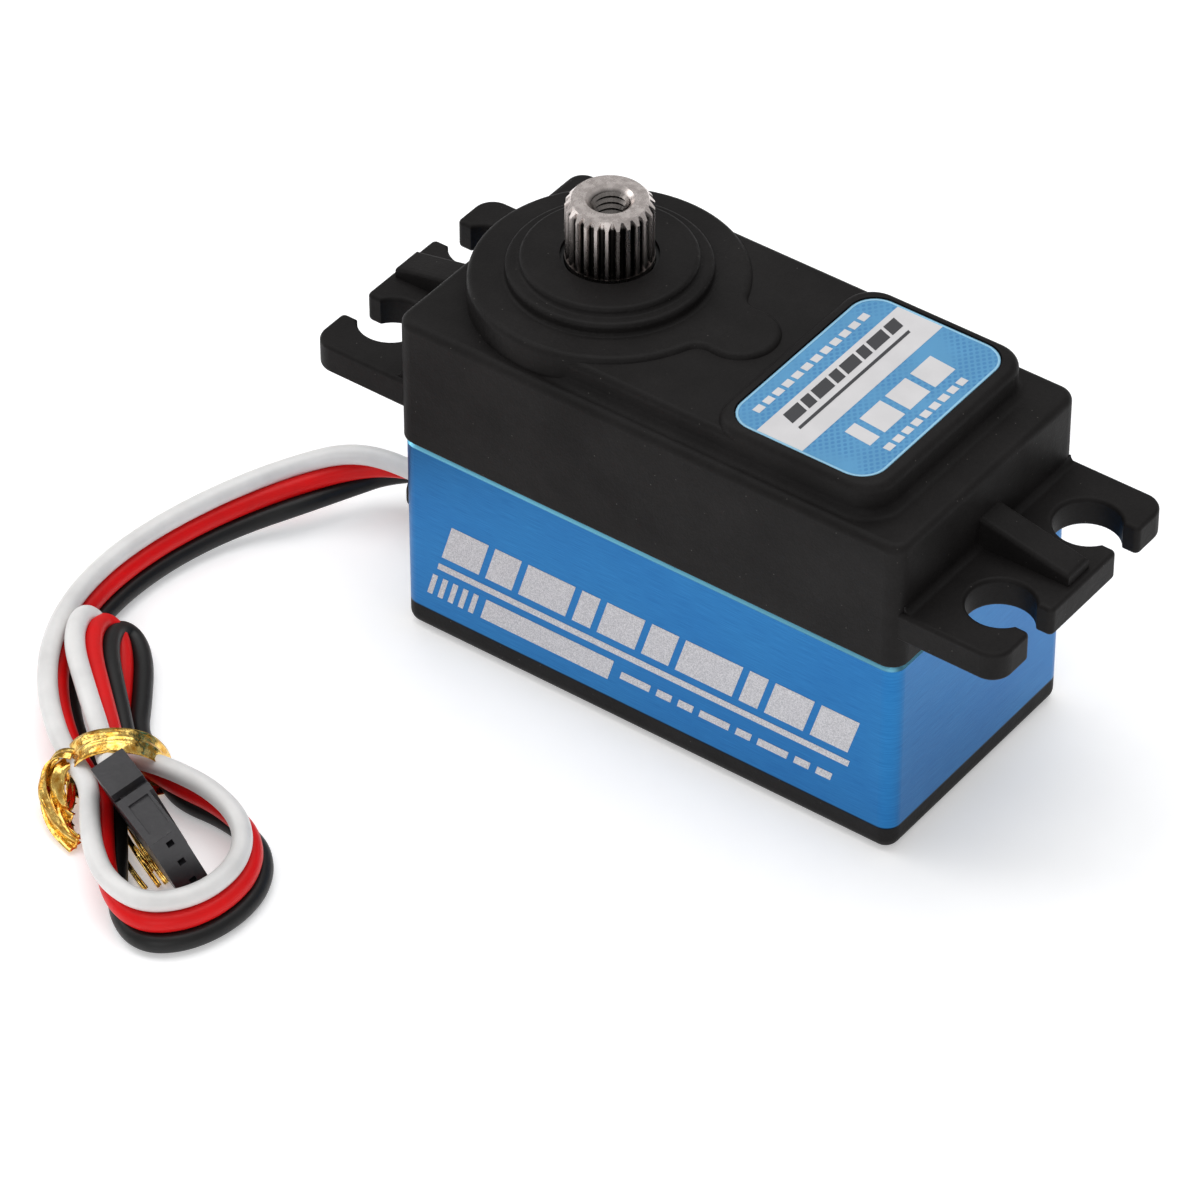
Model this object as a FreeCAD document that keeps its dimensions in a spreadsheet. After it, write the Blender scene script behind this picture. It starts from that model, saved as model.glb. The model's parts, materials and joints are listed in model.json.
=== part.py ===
import FreeCAD, Part

import math
import os
import re

import Sketcher
from FreeCAD import Placement, Rotation, Vector

# A low-profile servo motor with a metal middle case, its gear train, motor, feedback potentiometer and lead.
# Millimetres. +X runs along the case towards the label end, +Y across it, +Z up along the output shaft.
# The origin is the centre of the bottom face.

DRIVING = {
    # case sections
    "case_length": 40.0,
    "case_width": 20.0,
    "case_corner": 1.1,
    "cover_height": 1.94,
    "seam_height": 16.0,
    "ledge_height": 26.1,
    "flat_height": 27.9,
    "platform_height": 28.5,
    "top_lip": 0.2,
    "metal_wall": 1.5,
    "plastic_wall": 1.6,
    "deck_underside": 14.6,
    "edge_round": 0.6,
    "cover_round": 1.0,
    "metal_chamfer": 0.45,
    "foot_round": 0.62,
    "flat_round": 0.5,
    "platform_round": 0.6,
    # raised top, between the output boss and the label end
    "flat_half_width": 8.9,
    "flat_end": 17.3,
    "flat_corner": 2.3,
    "platform_start": 4.0,
    "label_length": 11.3,
    "label_width": 16.2,
    "label_centre": 10.55,
    "label_corner": 1.9,
    "label_thickness": 0.15,
    "label_recess": 0.25,
    # output boss, in steps, and the small boss over the centre gear pin
    "output_axis": -10.1,
    "disc_radius": 9.4,
    "disc_height": 28.25,
    "ring_radius": 6.9,
    "ring_height": 29.15,
    "boss_radius": 5.95,
    "boss_height": 29.75,
    "lobe_radius": 2.75,
    "neck_round": 1.2,
    "disc_round": 0.5,
    "step_round": 0.33,
    "step_foot": 0.25,
    # mounting ears
    "ear_tip": 27.6,
    "ear_half_width": 9.8,
    "ear_bottom": 18.4,
    "ear_top": 20.65,
    "ear_corner": 1.5,
    "ear_cove": 0.5,
    "hole_spacing_long": 49.0,
    "hole_spacing_wide": 10.0,
    "hole_radius": 2.3,
    "mouth_width": 2.5,
    "lip_round": 0.4,
    "ear_round": 0.3,
    "rib_half_width": 1.2,
    "rib_round": 0.35,
    "rib_end": 27.1,
    "rib_end_height": 21.5,
    "rib_root_height": 23.2,
    # screws that hold the three case sections together
    "screw_reach_x": 17.4,
    "screw_reach_y": 7.4,
    "screw_radius": 1.0,
    "screw_hole": 1.03,
    "screw_tip": 21.5,
    "head_radius": 1.8,
    "head_start": 0.15,
    "head_seat": 1.2,
    "post_inner_x": 15.3,
    "post_inner_y": 5.3,
    "post_height": 22.1,
    # seals
    "groove_width": 0.7,
    "groove_depth": 0.5,
    "gasket_width": 0.5,
    "groove_inset": 0.4,
    "seal_outer": 3.95,
    "seal_inner": 3.05,
    "seal_bottom": 28.75,
    "seal_top": 29.35,
    # bearings: bore, rings, balls
    "upper_bore": 3.0,
    "upper_outer": 5.0,
    "upper_bottom": 26.2,
    "lower_bore": 2.5,
    "lower_outer": 4.0,
    "lower_bottom": 13.5,
    "bearing_height": 2.5,
    "upper_ball": 0.48,
    "lower_ball": 0.42,
    "seat_gap": 0.02,
    # output gear, spline and horn-screw hole
    "output_teeth": 30,
    "output_module": 0.5,
    "output_gear_bottom": 22.6,
    "output_gear_top": 25.2,
    "spline_count": 25,
    "spline_outer": 2.96,
    "spline_root": 2.62,
    "spline_face": 2.55,
    "spline_top": 34.2,
    "spline_chamfer": 0.5,
    "horn_hole": 1.25,
    "horn_hole_depth": 8.0,
    "horn_sink": 1.62,
    "tail_end": 13.4,
    # fixed gear pins
    "centre_axis": 0.4,
    "centre_pin": 1.0,
    "second_axis_x": 7.64,
    "second_axis_y": 2.3,
    "second_pin": 0.75,
    "pin_bottom": 14.9,
    "centre_pin_top": 27.2,
    "second_pin_top": 24.7,
    "running_gap": 0.04,
    # reduction gears: teeth, module and the height of each face
    "fine_module": 0.4,
    "pinion_teeth": 9,
    "first_teeth": 30,
    "small_teeth": 10,
    "wheel_teeth": 28,
    "last_teeth": 12,
    "pinion_bottom": 16.6,
    "pinion_top": 18.4,
    "first_bottom": 16.9,
    "first_web": 18.1,
    "first_top": 20.4,
    "second_bottom": 18.6,
    "second_web": 19.8,
    "second_top": 22.2,
    "third_bottom": 20.7,
    "third_web": 21.9,
    "third_top": 25.6,
    # motor
    "motor_turn": -8.0,
    "motor_radius": 7.2,
    "motor_bottom": 4.4,
    "motor_skin": 0.5,
    "pilot_radius": 2.0,
    "pilot_top": 15.9,
    "motor_shaft": 0.75,
    "magnet_radius": 3.4,
    "stator_inner": 3.8,
    # potentiometer, board and its parts
    "pot_radius": 4.7,
    "pot_bottom": 5.0,
    "pot_top": 9.5,
    "pot_collar": 2.6,
    "pot_collar_top": 11.6,
    "pot_shaft": 1.5,
    "pot_shaft_top": 15.2,
    "board_bottom": 2.6,
    "board_top": 3.6,
    # strain relief
    "boot_tip": 25.5,
    "boot_half_width": 2.85,
    "boot_half_height": 1.4,
    "boot_centre": 3.6,
    "boot_round": 1.1,
    "grommet_half_width": 2.35,
    "grommet_top": 5.65,
    # lead
    "wire_diameter": 1.4,
    "wire_pitch": 1.4,
    "strand_width": 2.4,
    "hank_height": 4.2,
    "fold_height": 4.9,
    "plug_length": 9.6,
    "plug_width": 5.7,
    "plug_thickness": 2.5,
    "plug_pitch": 1.8,
}

doc = FreeCAD.newDocument("servo_motor")
sheet = doc.addObject("Spreadsheet::Sheet", "dims")
for row, (word, number) in enumerate(DRIVING.items(), start=1):
    sheet.set(f"A{row}", word)
    sheet.set(f"B{row}", str(number))
    sheet.setAlias(f"B{row}", word)
doc.recompute()

PARTS = {}


# Building blocks: every size is a formula over the words of the sheet.


def size(word):
    """The number in one cell of the sheet."""
    return float(getattr(sheet, word))


def formula(text):
    """The text with each driving word turned into a reference to its cell."""


    def cell(found):
        return f"dims.{found[0]}" if found[0] in DRIVING else found[0]

    return re.sub(r"[a-z_]+", cell, str(text))


def place(item, x="0", y="0", z="0"):
    """Moves an item to a point given by three formulas."""
    for letter, text in zip("xyz", (x, y, z)):
        item.setExpression(f"Placement.Base.{letter}", formula(text))
    return item


def block(x, y, z):
    """A box between two formulas along each axis."""
    item = doc.addObject("Part::Box", "block")
    for name, (low, high) in zip(("Length", "Width", "Height"), (x, y, z)):
        item.setExpression(name, formula(f"({high}) - ({low})"))
    return place(item, x[0], y[0], z[0])


def cylinder(radius, bottom, top, x="0", y="0"):
    """An upright cylinder."""
    item = doc.addObject("Part::Cylinder", "cylinder")
    item.setExpression("Radius", formula(radius))
    item.setExpression("Height", formula(f"({top}) - ({bottom})"))
    return place(item, x, y, bottom)


def cone(low_radius, high_radius, bottom, top, x="0", y="0"):
    """An upright cone."""
    item = doc.addObject("Part::Cone", "cone")
    item.setExpression("Radius1", formula(low_radius))
    item.setExpression("Radius2", formula(high_radius))
    item.setExpression("Height", formula(f"({top}) - ({bottom})"))
    return place(item, x, y, bottom)


def joined(*items):
    """One solid out of several that meet."""
    item = doc.addObject("Part::MultiFuse", "joined")
    item.Shapes = list(items)
    return item


def without(base, *tools):
    """The base with the tools cut away."""
    item = doc.addObject("Part::Cut", "without")
    item.Base = base
    item.Tool = tools[0] if len(tools) == 1 else joined(*tools)
    return item


def group(*items):
    """Separate solids kept together in one sub-part."""
    item = doc.addObject("Part::Compound", "group")
    item.Links = list(items)
    return item


def eased(base, radius, chosen, kind="Part::Fillet"):
    """The base with the chosen edges rounded, or chamfered."""
    doc.recompute()
    item = doc.addObject(kind, "eased")
    item.Base = base
    item.Edges = [(i, radius, radius) for i, edge in enumerate(base.Shape.Edges, start=1) if chosen(edge)]
    return item


def level(height):
    """Chooses the edges that lie flat at a height."""
    return lambda edge: all(abs(spot.z - height) < 1e-4 for spot in edge_spots(edge))


def edge_spots(edge):
    """The two ends and the middle of an edge."""
    middle = edge.valueAt((edge.FirstParameter + edge.LastParameter) / 2)
    return [middle] + [corner.Point for corner in edge.Vertexes]


def prism(length, width, corner, bottom, top, x="0", y="0"):
    """An upright body with a rounded rectangle as its plan: a sketch with its sizes bound, and a pad."""
    body = doc.addObject("PartDesign::Body", "prism")
    plane = next(item for item in body.Origin.OriginFeatures if item.Role == "XY_Plane")
    sketch = body.newObject("Sketcher::SketchObject", "outline")
    sketch.AttachmentSupport = (plane, [""])
    sketch.MapMode = "FlatFace"
    draw_rounded_rectangle(sketch, length, width, corner)
    pad = body.newObject("PartDesign::Pad", "pad")
    pad.Profile = sketch
    pad.setExpression("Length", formula(f"({top}) - ({bottom})"))
    return place(body, x, y, bottom)


def draw_rounded_rectangle(sketch, length, width, corner):
    """Four sides and four quarter rounds, tangent, centred on the sketch's origin."""
    reach_x, reach_y, bend = 10.0, 6.0, 1.0
    flat_x, flat_y = reach_x - bend, reach_y - bend
    sides = [
        (Vector(-flat_x, -reach_y, 0), Vector(flat_x, -reach_y, 0)),
        (Vector(reach_x, -flat_y, 0), Vector(reach_x, flat_y, 0)),
        (Vector(flat_x, reach_y, 0), Vector(-flat_x, reach_y, 0)),
        (Vector(-reach_x, flat_y, 0), Vector(-reach_x, -flat_y, 0)),
    ]
    centres = [(flat_x, -flat_y), (flat_x, flat_y), (-flat_x, flat_y), (-flat_x, -flat_y)]
    for start, end in sides:
        sketch.addGeometry(Part.LineSegment(start, end), False)
    for turn, (x, y) in enumerate(centres):
        circle = Part.Circle(Vector(x, y, 0), Vector(0, 0, 1), bend)
        first = (turn - 1) * math.pi / 2
        sketch.addGeometry(Part.ArcOfCircle(circle, first, first + math.pi / 2), False)
    side_start, side_end, arc_centre = 1, 2, 3
    for turn in range(4):
        sketch.addConstraint(Sketcher.Constraint("Tangent", turn, side_end, turn + 4, side_start))
        sketch.addConstraint(Sketcher.Constraint("Tangent", turn + 4, side_end, (turn + 1) % 4, side_start))
        straight = "Vertical" if turn % 2 else "Horizontal"
        sketch.addConstraint(Sketcher.Constraint(straight, turn))
    for turn in range(1, 4):
        sketch.addConstraint(Sketcher.Constraint("Equal", 4, turn + 4))
    sketch.addConstraint(Sketcher.Constraint("Symmetric", 4, arc_centre, 6, arc_centre, -1, 1))
    measures = (
        ("DistanceX", (3, side_start, 1, side_start), 2 * reach_x, length),
        ("DistanceY", (0, side_start, 2, side_start), 2 * reach_y, width),
        ("Radius", (4,), bend, corner),
    )
    for kind, where, now, text in measures:
        number = sketch.addConstraint(Sketcher.Constraint(kind, *where, now))
        sketch.setExpression(f"Constraints[{number}]", formula(text))


def solid(name, shape, placement=None):
    """A sub-part whose shape is worked out here from the sheet's numbers."""
    item = doc.addObject("Part::Feature", name)
    item.Shape = shape
    if placement is not None:
        item.Placement = placement
    return item


def keep(name, item):
    """Gives a finished sub-part its name."""
    item.Label = name
    PARTS[name] = item
    return item


# Case: bottom cover, metal middle case, moulded top case, seals and screws.


def at_screws(make):
    """One item at each of the four case screws."""
    return [make(f"{x} * screw_reach_x", f"{y} * screw_reach_y") for x in (-1, 1) for y in (-1, 1)]


def screw_holes(radius, bottom, top):
    """A round hole at each of the four case screws."""
    return at_screws(lambda x, y: cylinder(radius, bottom, top, x, y))


def corner_posts(bottom, top, outer_x, outer_y):
    """Square posts in the four inner corners of a case section."""
    posts = []
    for x in ((f"-({outer_x})", "-post_inner_x"), ("post_inner_x", outer_x)):
        for y in ((f"-({outer_y})", "-post_inner_y"), ("post_inner_y", outer_y)):
            posts.append(block(x, y, (bottom, top)))
    return posts


def seal_loop(width, bottom, top):
    """A closed loop that follows the case wall, centred in its groove."""
    middle = "(groove_inset + groove_width / 2)"
    outer = [f"{side} - 2 * {middle} + ({width})" for side in ("case_length", "case_width")]
    inner = [f"{side} - 2 * {middle} - ({width})" for side in ("case_length", "case_width")]
    hollow = prism(*inner, "case_corner - groove_inset - groove_width", f"{bottom} - 0.1", f"{top} + 0.1")
    return without(prism(*outer, "case_corner - groove_inset", bottom, top), hollow)


def make_bottom_cover():
    plate = prism("case_length", "case_width", "case_corner", "0", "cover_height")
    plate = eased(plate, size("cover_round"), level(0.0))
    pads = [
        block((f"{x} - 2", f"{x} + 2"), (f"{y} - 0.8", f"{y} + 0.8"), ("cover_height - 0.2", "board_bottom"))
        for x in (-12, 12)
        for y in (-7.2, 7.2)
    ]
    sinks = screw_holes("head_radius + 0.1", "-0.1", "head_seat")
    holes = screw_holes("screw_radius + 0.1", "0", "cover_height + 0.1")
    groove = seal_loop("groove_width", "cover_height - groove_depth", "cover_height + 0.1")
    keep("bottom_cover", without(joined(plate, *pads), *sinks, *holes, groove))


def make_middle_case():
    shell = prism("case_length", "case_width", "case_corner", "cover_height", "seam_height")
    shell = eased(shell, size("metal_chamfer"), level(size("seam_height")), "Part::Chamfer")
    room_x, room_y = "case_length / 2 - metal_wall", "case_width / 2 - metal_wall"
    room = prism(f"2 * ({room_x})", f"2 * ({room_y})", "0.8", "cover_height - 0.1", "deck_underside")
    posts = corner_posts("cover_height", "deck_underside + 0.1", f"{room_x} + 0.1", f"{room_y} + 0.1")
    hub = cylinder("lower_outer + 1.4", "lower_bottom - 0.7", "deck_underside + 0.1", "output_axis")
    second = ("second_axis_x", "second_axis_y")
    cuts = [
        cylinder("lower_outer + seat_gap", "lower_bottom", "seam_height + 0.1", "output_axis"),
        cylinder("lower_bore + 0.7", "lower_bottom - 0.8", "lower_bottom + 0.1", "output_axis"),
        cylinder("pilot_radius + 0.03", "deck_underside - 0.1", "seam_height + 0.1", *motor_centre()),
        cylinder("centre_pin + seat_gap", "pin_bottom", "seam_height + 0.1", "centre_axis"),
        cylinder("second_pin + seat_gap", "pin_bottom", "seam_height + 0.1", *second),
        block(
            ("-case_length / 2 - 0.1", f"-({room_x}) + 0.1"),
            ("-grommet_half_width - 0.05", "grommet_half_width + 0.05"),
            ("cover_height - 0.1", "grommet_top + 0.05"),
        ),
        seal_loop("groove_width", "seam_height - groove_depth", "seam_height + 0.1"),
    ]
    holes = screw_holes("screw_radius + 0.1", "cover_height - 0.1", "seam_height + 0.1")
    keep("middle_case", without(joined(without(shell, room), hub, *posts), *cuts, *holes))


def make_ears():
    """The ear plate, right across the case, with its four open-ended holes, and a rib on each side."""
    plate = prism("2 * ear_tip", "2 * ear_half_width", "ear_corner", "ear_bottom", "ear_top")
    cuts = []
    for x_side in ("-1", "1"):
        for y_side in ("-1", "1"):
            x, y = f"{x_side} * hole_spacing_long / 2", f"{y_side} * hole_spacing_wide / 2"
            cuts.append(cylinder("hole_radius", "ear_bottom - 0.1", "ear_top + 0.1", x, y))
            ends = (x, f"{x_side} * (ear_tip + 1)") if x_side == "1" else (f"{x_side} * (ear_tip + 1)", x)
            across = (f"{y} - mouth_width / 2", f"{y} + mouth_width / 2")
            cuts.append(block(ends, across, ("ear_bottom - 0.1", "ear_top + 0.1")))
    plate = without(plate, *cuts)
    tip, spacing, half_mouth = size("ear_tip"), size("hole_spacing_wide") / 2, size("mouth_width") / 2

    def is_lip(edge):
        spots = edge_spots(edge)
        at_tip = all(abs(abs(spot.x) - tip) < 1e-4 for spot in spots)
        upright = abs(spots[1].z - spots[-1].z) > 1
        return at_tip and upright and abs(abs(abs(spots[0].y) - spacing) - half_mouth) < 1e-4

    plate = eased(plate, size("lip_round"), is_lip)
    plate = eased(plate, size("ear_round"), level(size("ear_top")))
    plate = eased(plate, size("ear_round"), level(size("ear_bottom")))
    return [plate, *(make(side) for side in (-1, 1) for make in (make_rib, make_cove))]


def make_cove(side):
    """The concave rounding where an ear leaves the case wall."""
    wall, half = "(case_length / 2 + top_lip)", "(ear_half_width - ear_round)"
    reach = [f"{side} * ({wall} - 0.1)", f"{side} * ({wall} + ear_cove)"]
    bar = block(reach[::side], (f"-{half}", half), ("ear_top - 0.1", "ear_top + ear_cove"))
    scoop = doc.addObject("Part::Cylinder", "scoop")
    scoop.setExpression("Radius", formula("ear_cove"))
    scoop.setExpression("Height", formula("2 * ear_half_width"))
    scoop.Placement = Placement(Vector(0, 0, 0), Rotation(Vector(1, 0, 0), 90))
    return without(bar, place(scoop, reach[1], "ear_half_width", "ear_top + ear_cove"))


def make_rib(side):
    """A sloping rib in the middle of an ear, from the case wall out to near the tip."""
    rib = doc.addObject("Part::Wedge", "rib")
    start = "(case_length / 2 - 1)"
    sizes = {
        "Xmin": "-rib_half_width",
        "Xmax": "rib_half_width",
        "X2min": "-rib_half_width",
        "X2max": "rib_half_width",
        "Ymin": "0",
        "Ymax": f"rib_end - {start}",
        "Zmin": "0",
        "Zmax": "rib_root_height - ear_bottom - 1",
        "Z2min": "0",
        "Z2max": "rib_end_height - ear_bottom - 1",
    }
    for name, text in sizes.items():
        rib.setExpression(name, formula(text))
    rib.Placement = Placement(Vector(0, 0, 0), Rotation(Vector(0, 0, 1), -90 * side))
    place(rib, f"{side} * {start}", "0", "ear_bottom + 1")
    reach, floor = size("rib_end"), size("ear_top")

    def is_top(edge):
        spots = edge_spots(edge)
        at_end = any(abs(abs(spot.x) - reach) < 1e-4 for spot in spots)
        return at_end and all(spot.z > floor for spot in spots)

    return eased(rib, size("rib_round"), is_top)


def make_output_boss(root):
    """The output disc with its lobe over the centre gear pin, and the two steps that rise from it."""
    axis, disc_radius = size("output_axis"), size("disc_radius")

    def rim(radius, height):
        """Chooses the circle of one radius about the output axis at one height."""
        return lambda edge: level(size(height))(edge) and all(
            abs(math.hypot(spot.x - axis, spot.y) - size(radius)) < 1e-3 for spot in edge_spots(edge)
        )

    def is_neck(edge):
        """The two upright inner corners between the disc and the lobe."""
        spots = edge_spots(edge)
        upright = len(spots) > 2 and math.dist(spots[1][:2], spots[2][:2]) < 1e-4
        on_disc = all(abs(math.hypot(spot.x - axis, spot.y) - disc_radius) < 1e-3 for spot in spots)
        return upright and on_disc and spots[0].x > axis + 1

    def is_brow(edge):
        return rim("ring_radius", "ring_height")(edge) or rim("boss_radius", "boss_height")(edge)

    def is_foot(edge):
        return rim("ring_radius", "disc_height")(edge) or rim("boss_radius", "ring_height")(edge)

    disc = joined(
        cylinder("disc_radius", root, "disc_height", "output_axis"),
        cylinder("lobe_radius", root, "disc_height", "centre_axis"),
    )
    disc = eased(disc, size("neck_round"), is_neck)
    boss = joined(
        eased(disc, size("disc_round"), level(size("disc_height"))),
        cylinder("ring_radius", root, "ring_height", "output_axis"),
        cylinder("boss_radius", root, "boss_height", "output_axis"),
    )
    return eased(eased(boss, size("step_foot"), is_foot), size("step_round"), is_brow)


def make_foot(root):
    """The concave rounding at the foot of the raised top, on the ledge."""
    length, width = "flat_end - output_axis", "2 * flat_half_width"
    middle = "(flat_end + output_axis) / 2"
    wall = prism(length, width, "flat_corner", root, "ledge_height + 1", middle)
    spread = "2 * foot_round + 0.04"
    plan = f"{length} + {spread}", f"{width} + {spread}", "flat_corner + foot_round"
    slab = prism(*plan, root, "ledge_height", middle)
    half = size("flat_half_width") + 0.01
    ends = size("output_axis") - 0.01, size("flat_end") + 0.01

    def is_foot(edge):
        inside = all(ends[0] < spot.x < ends[1] and abs(spot.y) < half for spot in edge_spots(edge))
        return inside and level(size("ledge_height"))(edge)

    return eased(joined(wall, slab), size("foot_round"), is_foot)


def make_top_case():
    outer = ("case_length + 2 * top_lip", "case_width + 2 * top_lip", "case_corner + top_lip")
    main = prism(*outer, "seam_height", "ledge_height")
    main = eased(main, size("edge_round"), level(size("ledge_height")))
    main = eased(main, 0.25, level(size("seam_height")))
    root = "ledge_height - 1"
    middle = "(flat_end + output_axis) / 2"
    flat = prism("flat_end - output_axis", "2 * flat_half_width", "flat_corner", root, "flat_height", middle)
    platform = prism(
        "flat_end - platform_start",
        "2 * flat_half_width",
        "flat_corner",
        root,
        "platform_height",
        "(flat_end + platform_start) / 2",
    )
    raised = [
        make_foot(root),
        eased(flat, size("flat_round"), level(size("flat_height"))),
        eased(platform, size("platform_round"), level(size("platform_height"))),
        make_output_boss(root),
    ]
    outside = joined(main, *raised, *make_ears())
    room_x, room_y = "case_length / 2 + top_lip - plastic_wall", "case_width / 2 + top_lip - plastic_wall"
    loft = "flat_half_width - plastic_wall"
    loft_x = ("output_axis", "flat_end - plastic_wall")
    low_room = ("seam_height - 0.1", "ledge_height - plastic_wall")
    rooms = [
        prism(f"2 * ({room_x})", f"2 * ({room_y})", "0.8", *low_room),
        cylinder("disc_radius - 1", "seam_height", "upper_bottom", "output_axis"),
        block(loft_x, (f"-({loft})", loft), ("20", "flat_height - plastic_wall")),
    ]
    posts = corner_posts("seam_height", "post_height", f"{room_x} + 0.1", f"{room_y} + 0.1")
    second = ("second_axis_x", "second_axis_y")
    pin_bosses = [
        cylinder("2", "third_top + 0.2", "flat_height - 1.5", "centre_axis"),
        cylinder("2", "second_top + 0.3", "flat_height - 1.5", *second),
    ]
    bearing_top = "upper_bottom + bearing_height + 0.05"
    bores = [
        cylinder("upper_outer + seat_gap", "upper_bottom - 0.1", bearing_top, "output_axis"),
        cylinder("seal_outer + seat_gap", "upper_bottom", "seal_top + 0.02", "output_axis"),
        cylinder("upper_bore + 0.3", "upper_bottom", "boss_height + 0.1", "output_axis"),
        cylinder("centre_pin + seat_gap", "third_top", "centre_pin_top + 0.1", "centre_axis"),
        cylinder("second_pin + seat_gap", "second_top", "second_pin_top + 0.1", *second),
        prism(
            "label_length + 0.2",
            "label_width + 0.2",
            "label_corner + 0.1",
            "platform_height - label_recess",
            "platform_height + 0.1",
            "label_centre",
        ),
    ]
    holes = screw_holes("screw_hole", "seam_height - 0.1", "screw_tip + 0.2")
    housing = joined(without(outside, *rooms), *posts, *pin_bosses)
    keep("top_case", without(housing, *bores, *holes))


def make_seals():
    keep("lower_gasket", seal_loop("gasket_width", "cover_height - groove_depth", "cover_height"))
    keep("upper_gasket", seal_loop("gasket_width", "seam_height - groove_depth", "seam_height"))
    ring = cylinder("seal_outer", "seal_bottom", "seal_top", "output_axis")
    hole = cylinder("seal_inner", "seal_bottom - 0.1", "seal_top + 0.1", "output_axis")
    keep("output_seal", without(ring, hole))


def make_screw(x, y):
    """A long screw with a hexagon socket in its head, driven up from below."""
    head = cylinder("head_radius", "head_start", "head_seat", x, y)
    shank = cylinder("screw_radius", "head_seat - 0.1", "screw_tip", x, y)
    socket = doc.addObject("Part::Prism", "socket")
    socket.Polygon = 6
    socket.Circumradius = 0.85
    socket.Height = 0.7
    return without(joined(head, shank), place(socket, x, y, "head_start - 0.1"))


def make_label():
    bottom = "platform_height - label_recess"
    top = f"{bottom} + label_thickness"
    keep("label", prism("label_length", "label_width", "label_corner", bottom, top, "label_centre"))


# Gears.


def flank(base_radius, radius):
    """How far round an involute has turned when it reaches a radius."""
    roll = math.acos(min(1.0, base_radius / radius))
    return math.tan(roll) - roll


def gear_face(teeth, module, phase):
    """The plan of a spur gear with stub teeth, as a face. phase is the direction of one tooth, in degrees."""
    pressure = math.radians(20)
    backlash = 0.09
    pitch = teeth * module / 2
    tip, root, base = pitch + 0.8 * module, pitch - 1.15 * module, pitch * math.cos(pressure)
    half = (math.pi * module / 2 - backlash) / (2 * pitch)
    start = max(base, root)

    def half_angle(radius):
        return half + flank(base, pitch) - flank(base, radius)

    def spot(radius, angle):
        return Vector(radius * math.cos(angle), radius * math.sin(angle), 0)

    edges = []
    step = 2 * math.pi / teeth
    middle = (start + tip) / 2
    for number in range(teeth):
        axis = math.radians(phase) + number * step
        foot = half_angle(start)
        if start > root:
            edges.append(Part.LineSegment(spot(root, axis - foot), spot(start, axis - foot)).toShape())
        rise = [spot(radius, axis - half_angle(radius)) for radius in (start, middle, tip)]
        fall = [spot(radius, axis + half_angle(radius)) for radius in (tip, middle, start)]
        edges.append(Part.Arc(*rise).toShape())
        edges.append(Part.Arc(rise[-1], spot(tip, axis), fall[0]).toShape())
        edges.append(Part.Arc(*fall).toShape())
        if start > root:
            edges.append(Part.LineSegment(spot(start, axis + foot), spot(root, axis + foot)).toShape())
        low, high = spot(root, axis + foot), spot(root, axis + step - foot)
        edges.append(Part.Arc(low, spot(root, axis + step / 2), high).toShape())
    return Part.Face(Part.Wire(edges))


def gear(name, teeth, module, phase, bottom, top, x, y):
    """A spur gear between two heights, on an axis."""
    shape = gear_face(int(size(teeth)), size(module), phase).extrude(Vector(0, 0, size(top) - size(bottom)))
    return solid(name, shape, Placement(Vector(x, y, size(bottom)), Rotation()))


def pitch_radius(teeth, module):
    return size(teeth) * size(module) / 2


def motor_centre():
    """The motor's axis: its pinion meshes with the first gear, a little to one side of the centre line."""
    reach = pitch_radius("pinion_teeth", "fine_module") + pitch_radius("first_teeth", "fine_module")
    turn = math.radians(size("motor_turn"))
    return size("centre_axis") + reach * math.cos(turn), reach * math.sin(turn)


def heading(start, end):
    """The direction from one axis to another, in degrees."""
    return math.degrees(math.atan2(end[1] - start[1], end[0] - start[0]))


def phases(start, end, teeth):
    """Tooth directions that put a tooth of the gear at start into a gap of the gear at end."""
    towards = heading(start, end)
    return towards, towards + 180 + 180 / size(teeth)


def lightening_pockets(axis, bottom, top):
    """Six round pockets in the underside of a wheel."""
    reach, pockets = 3.9, []
    for number in range(6):
        turn = math.radians(60 * number)
        x, y = axis[0] + reach * math.cos(turn), axis[1] + reach * math.sin(turn)
        pockets.append(cylinder("0.9", bottom, top, x, y))
    return pockets


def make_gears():
    output, centre = (size("output_axis"), 0.0), (size("centre_axis"), 0.0)
    second, motor = (size("second_axis_x"), size("second_axis_y")), motor_centre()
    pinion_phase, first_phase = phases(motor, centre, "first_teeth")
    first_small_phase, second_phase = phases(centre, second, "wheel_teeth")
    second_small_phase, third_phase = phases(second, centre, "wheel_teeth")
    last_phase, output_phase = phases(centre, output, "output_teeth")
    fine, coarse = "fine_module", "output_module"

    pinion = gear("pinion", "pinion_teeth", fine, pinion_phase, "pinion_bottom", "pinion_top", *motor)
    hole = cylinder("motor_shaft + 0.01", "pinion_bottom - 0.1", "pinion_top + 0.1", *motor)
    keep("motor_pinion", without(pinion, hole))

    first = ("first_teeth", fine, first_phase), ("small_teeth", fine, first_small_phase)
    middle = ("wheel_teeth", fine, second_phase), ("small_teeth", fine, second_small_phase)
    third = ("wheel_teeth", fine, third_phase), ("last_teeth", coarse, last_phase)
    compound = (
        ("first", centre, "centre_pin", first),
        ("second", second, "second_pin", middle),
        ("third", centre, "centre_pin", third),
    )
    for word, axis, pin, (wheel, small) in compound:
        bottom, web, top = f"{word}_bottom", f"{word}_web", f"{word}_top"
        faces = joined(gear("wheel", *wheel, bottom, web, *axis), gear("small", *small, web, top, *axis))
        bore = cylinder(f"{pin} + running_gap", f"{bottom} - 0.1", f"{top} + 0.1", *axis)
        pockets = lightening_pockets(axis, f"{bottom} - 0.1", f"{web} - 0.35")
        keep(f"{word}_gear", without(faces, bore, *pockets))

    heights = "output_gear_bottom", "output_gear_top"
    make_output_gear(gear("output_wheel", "output_teeth", coarse, output_phase, *heights, *output))


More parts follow.
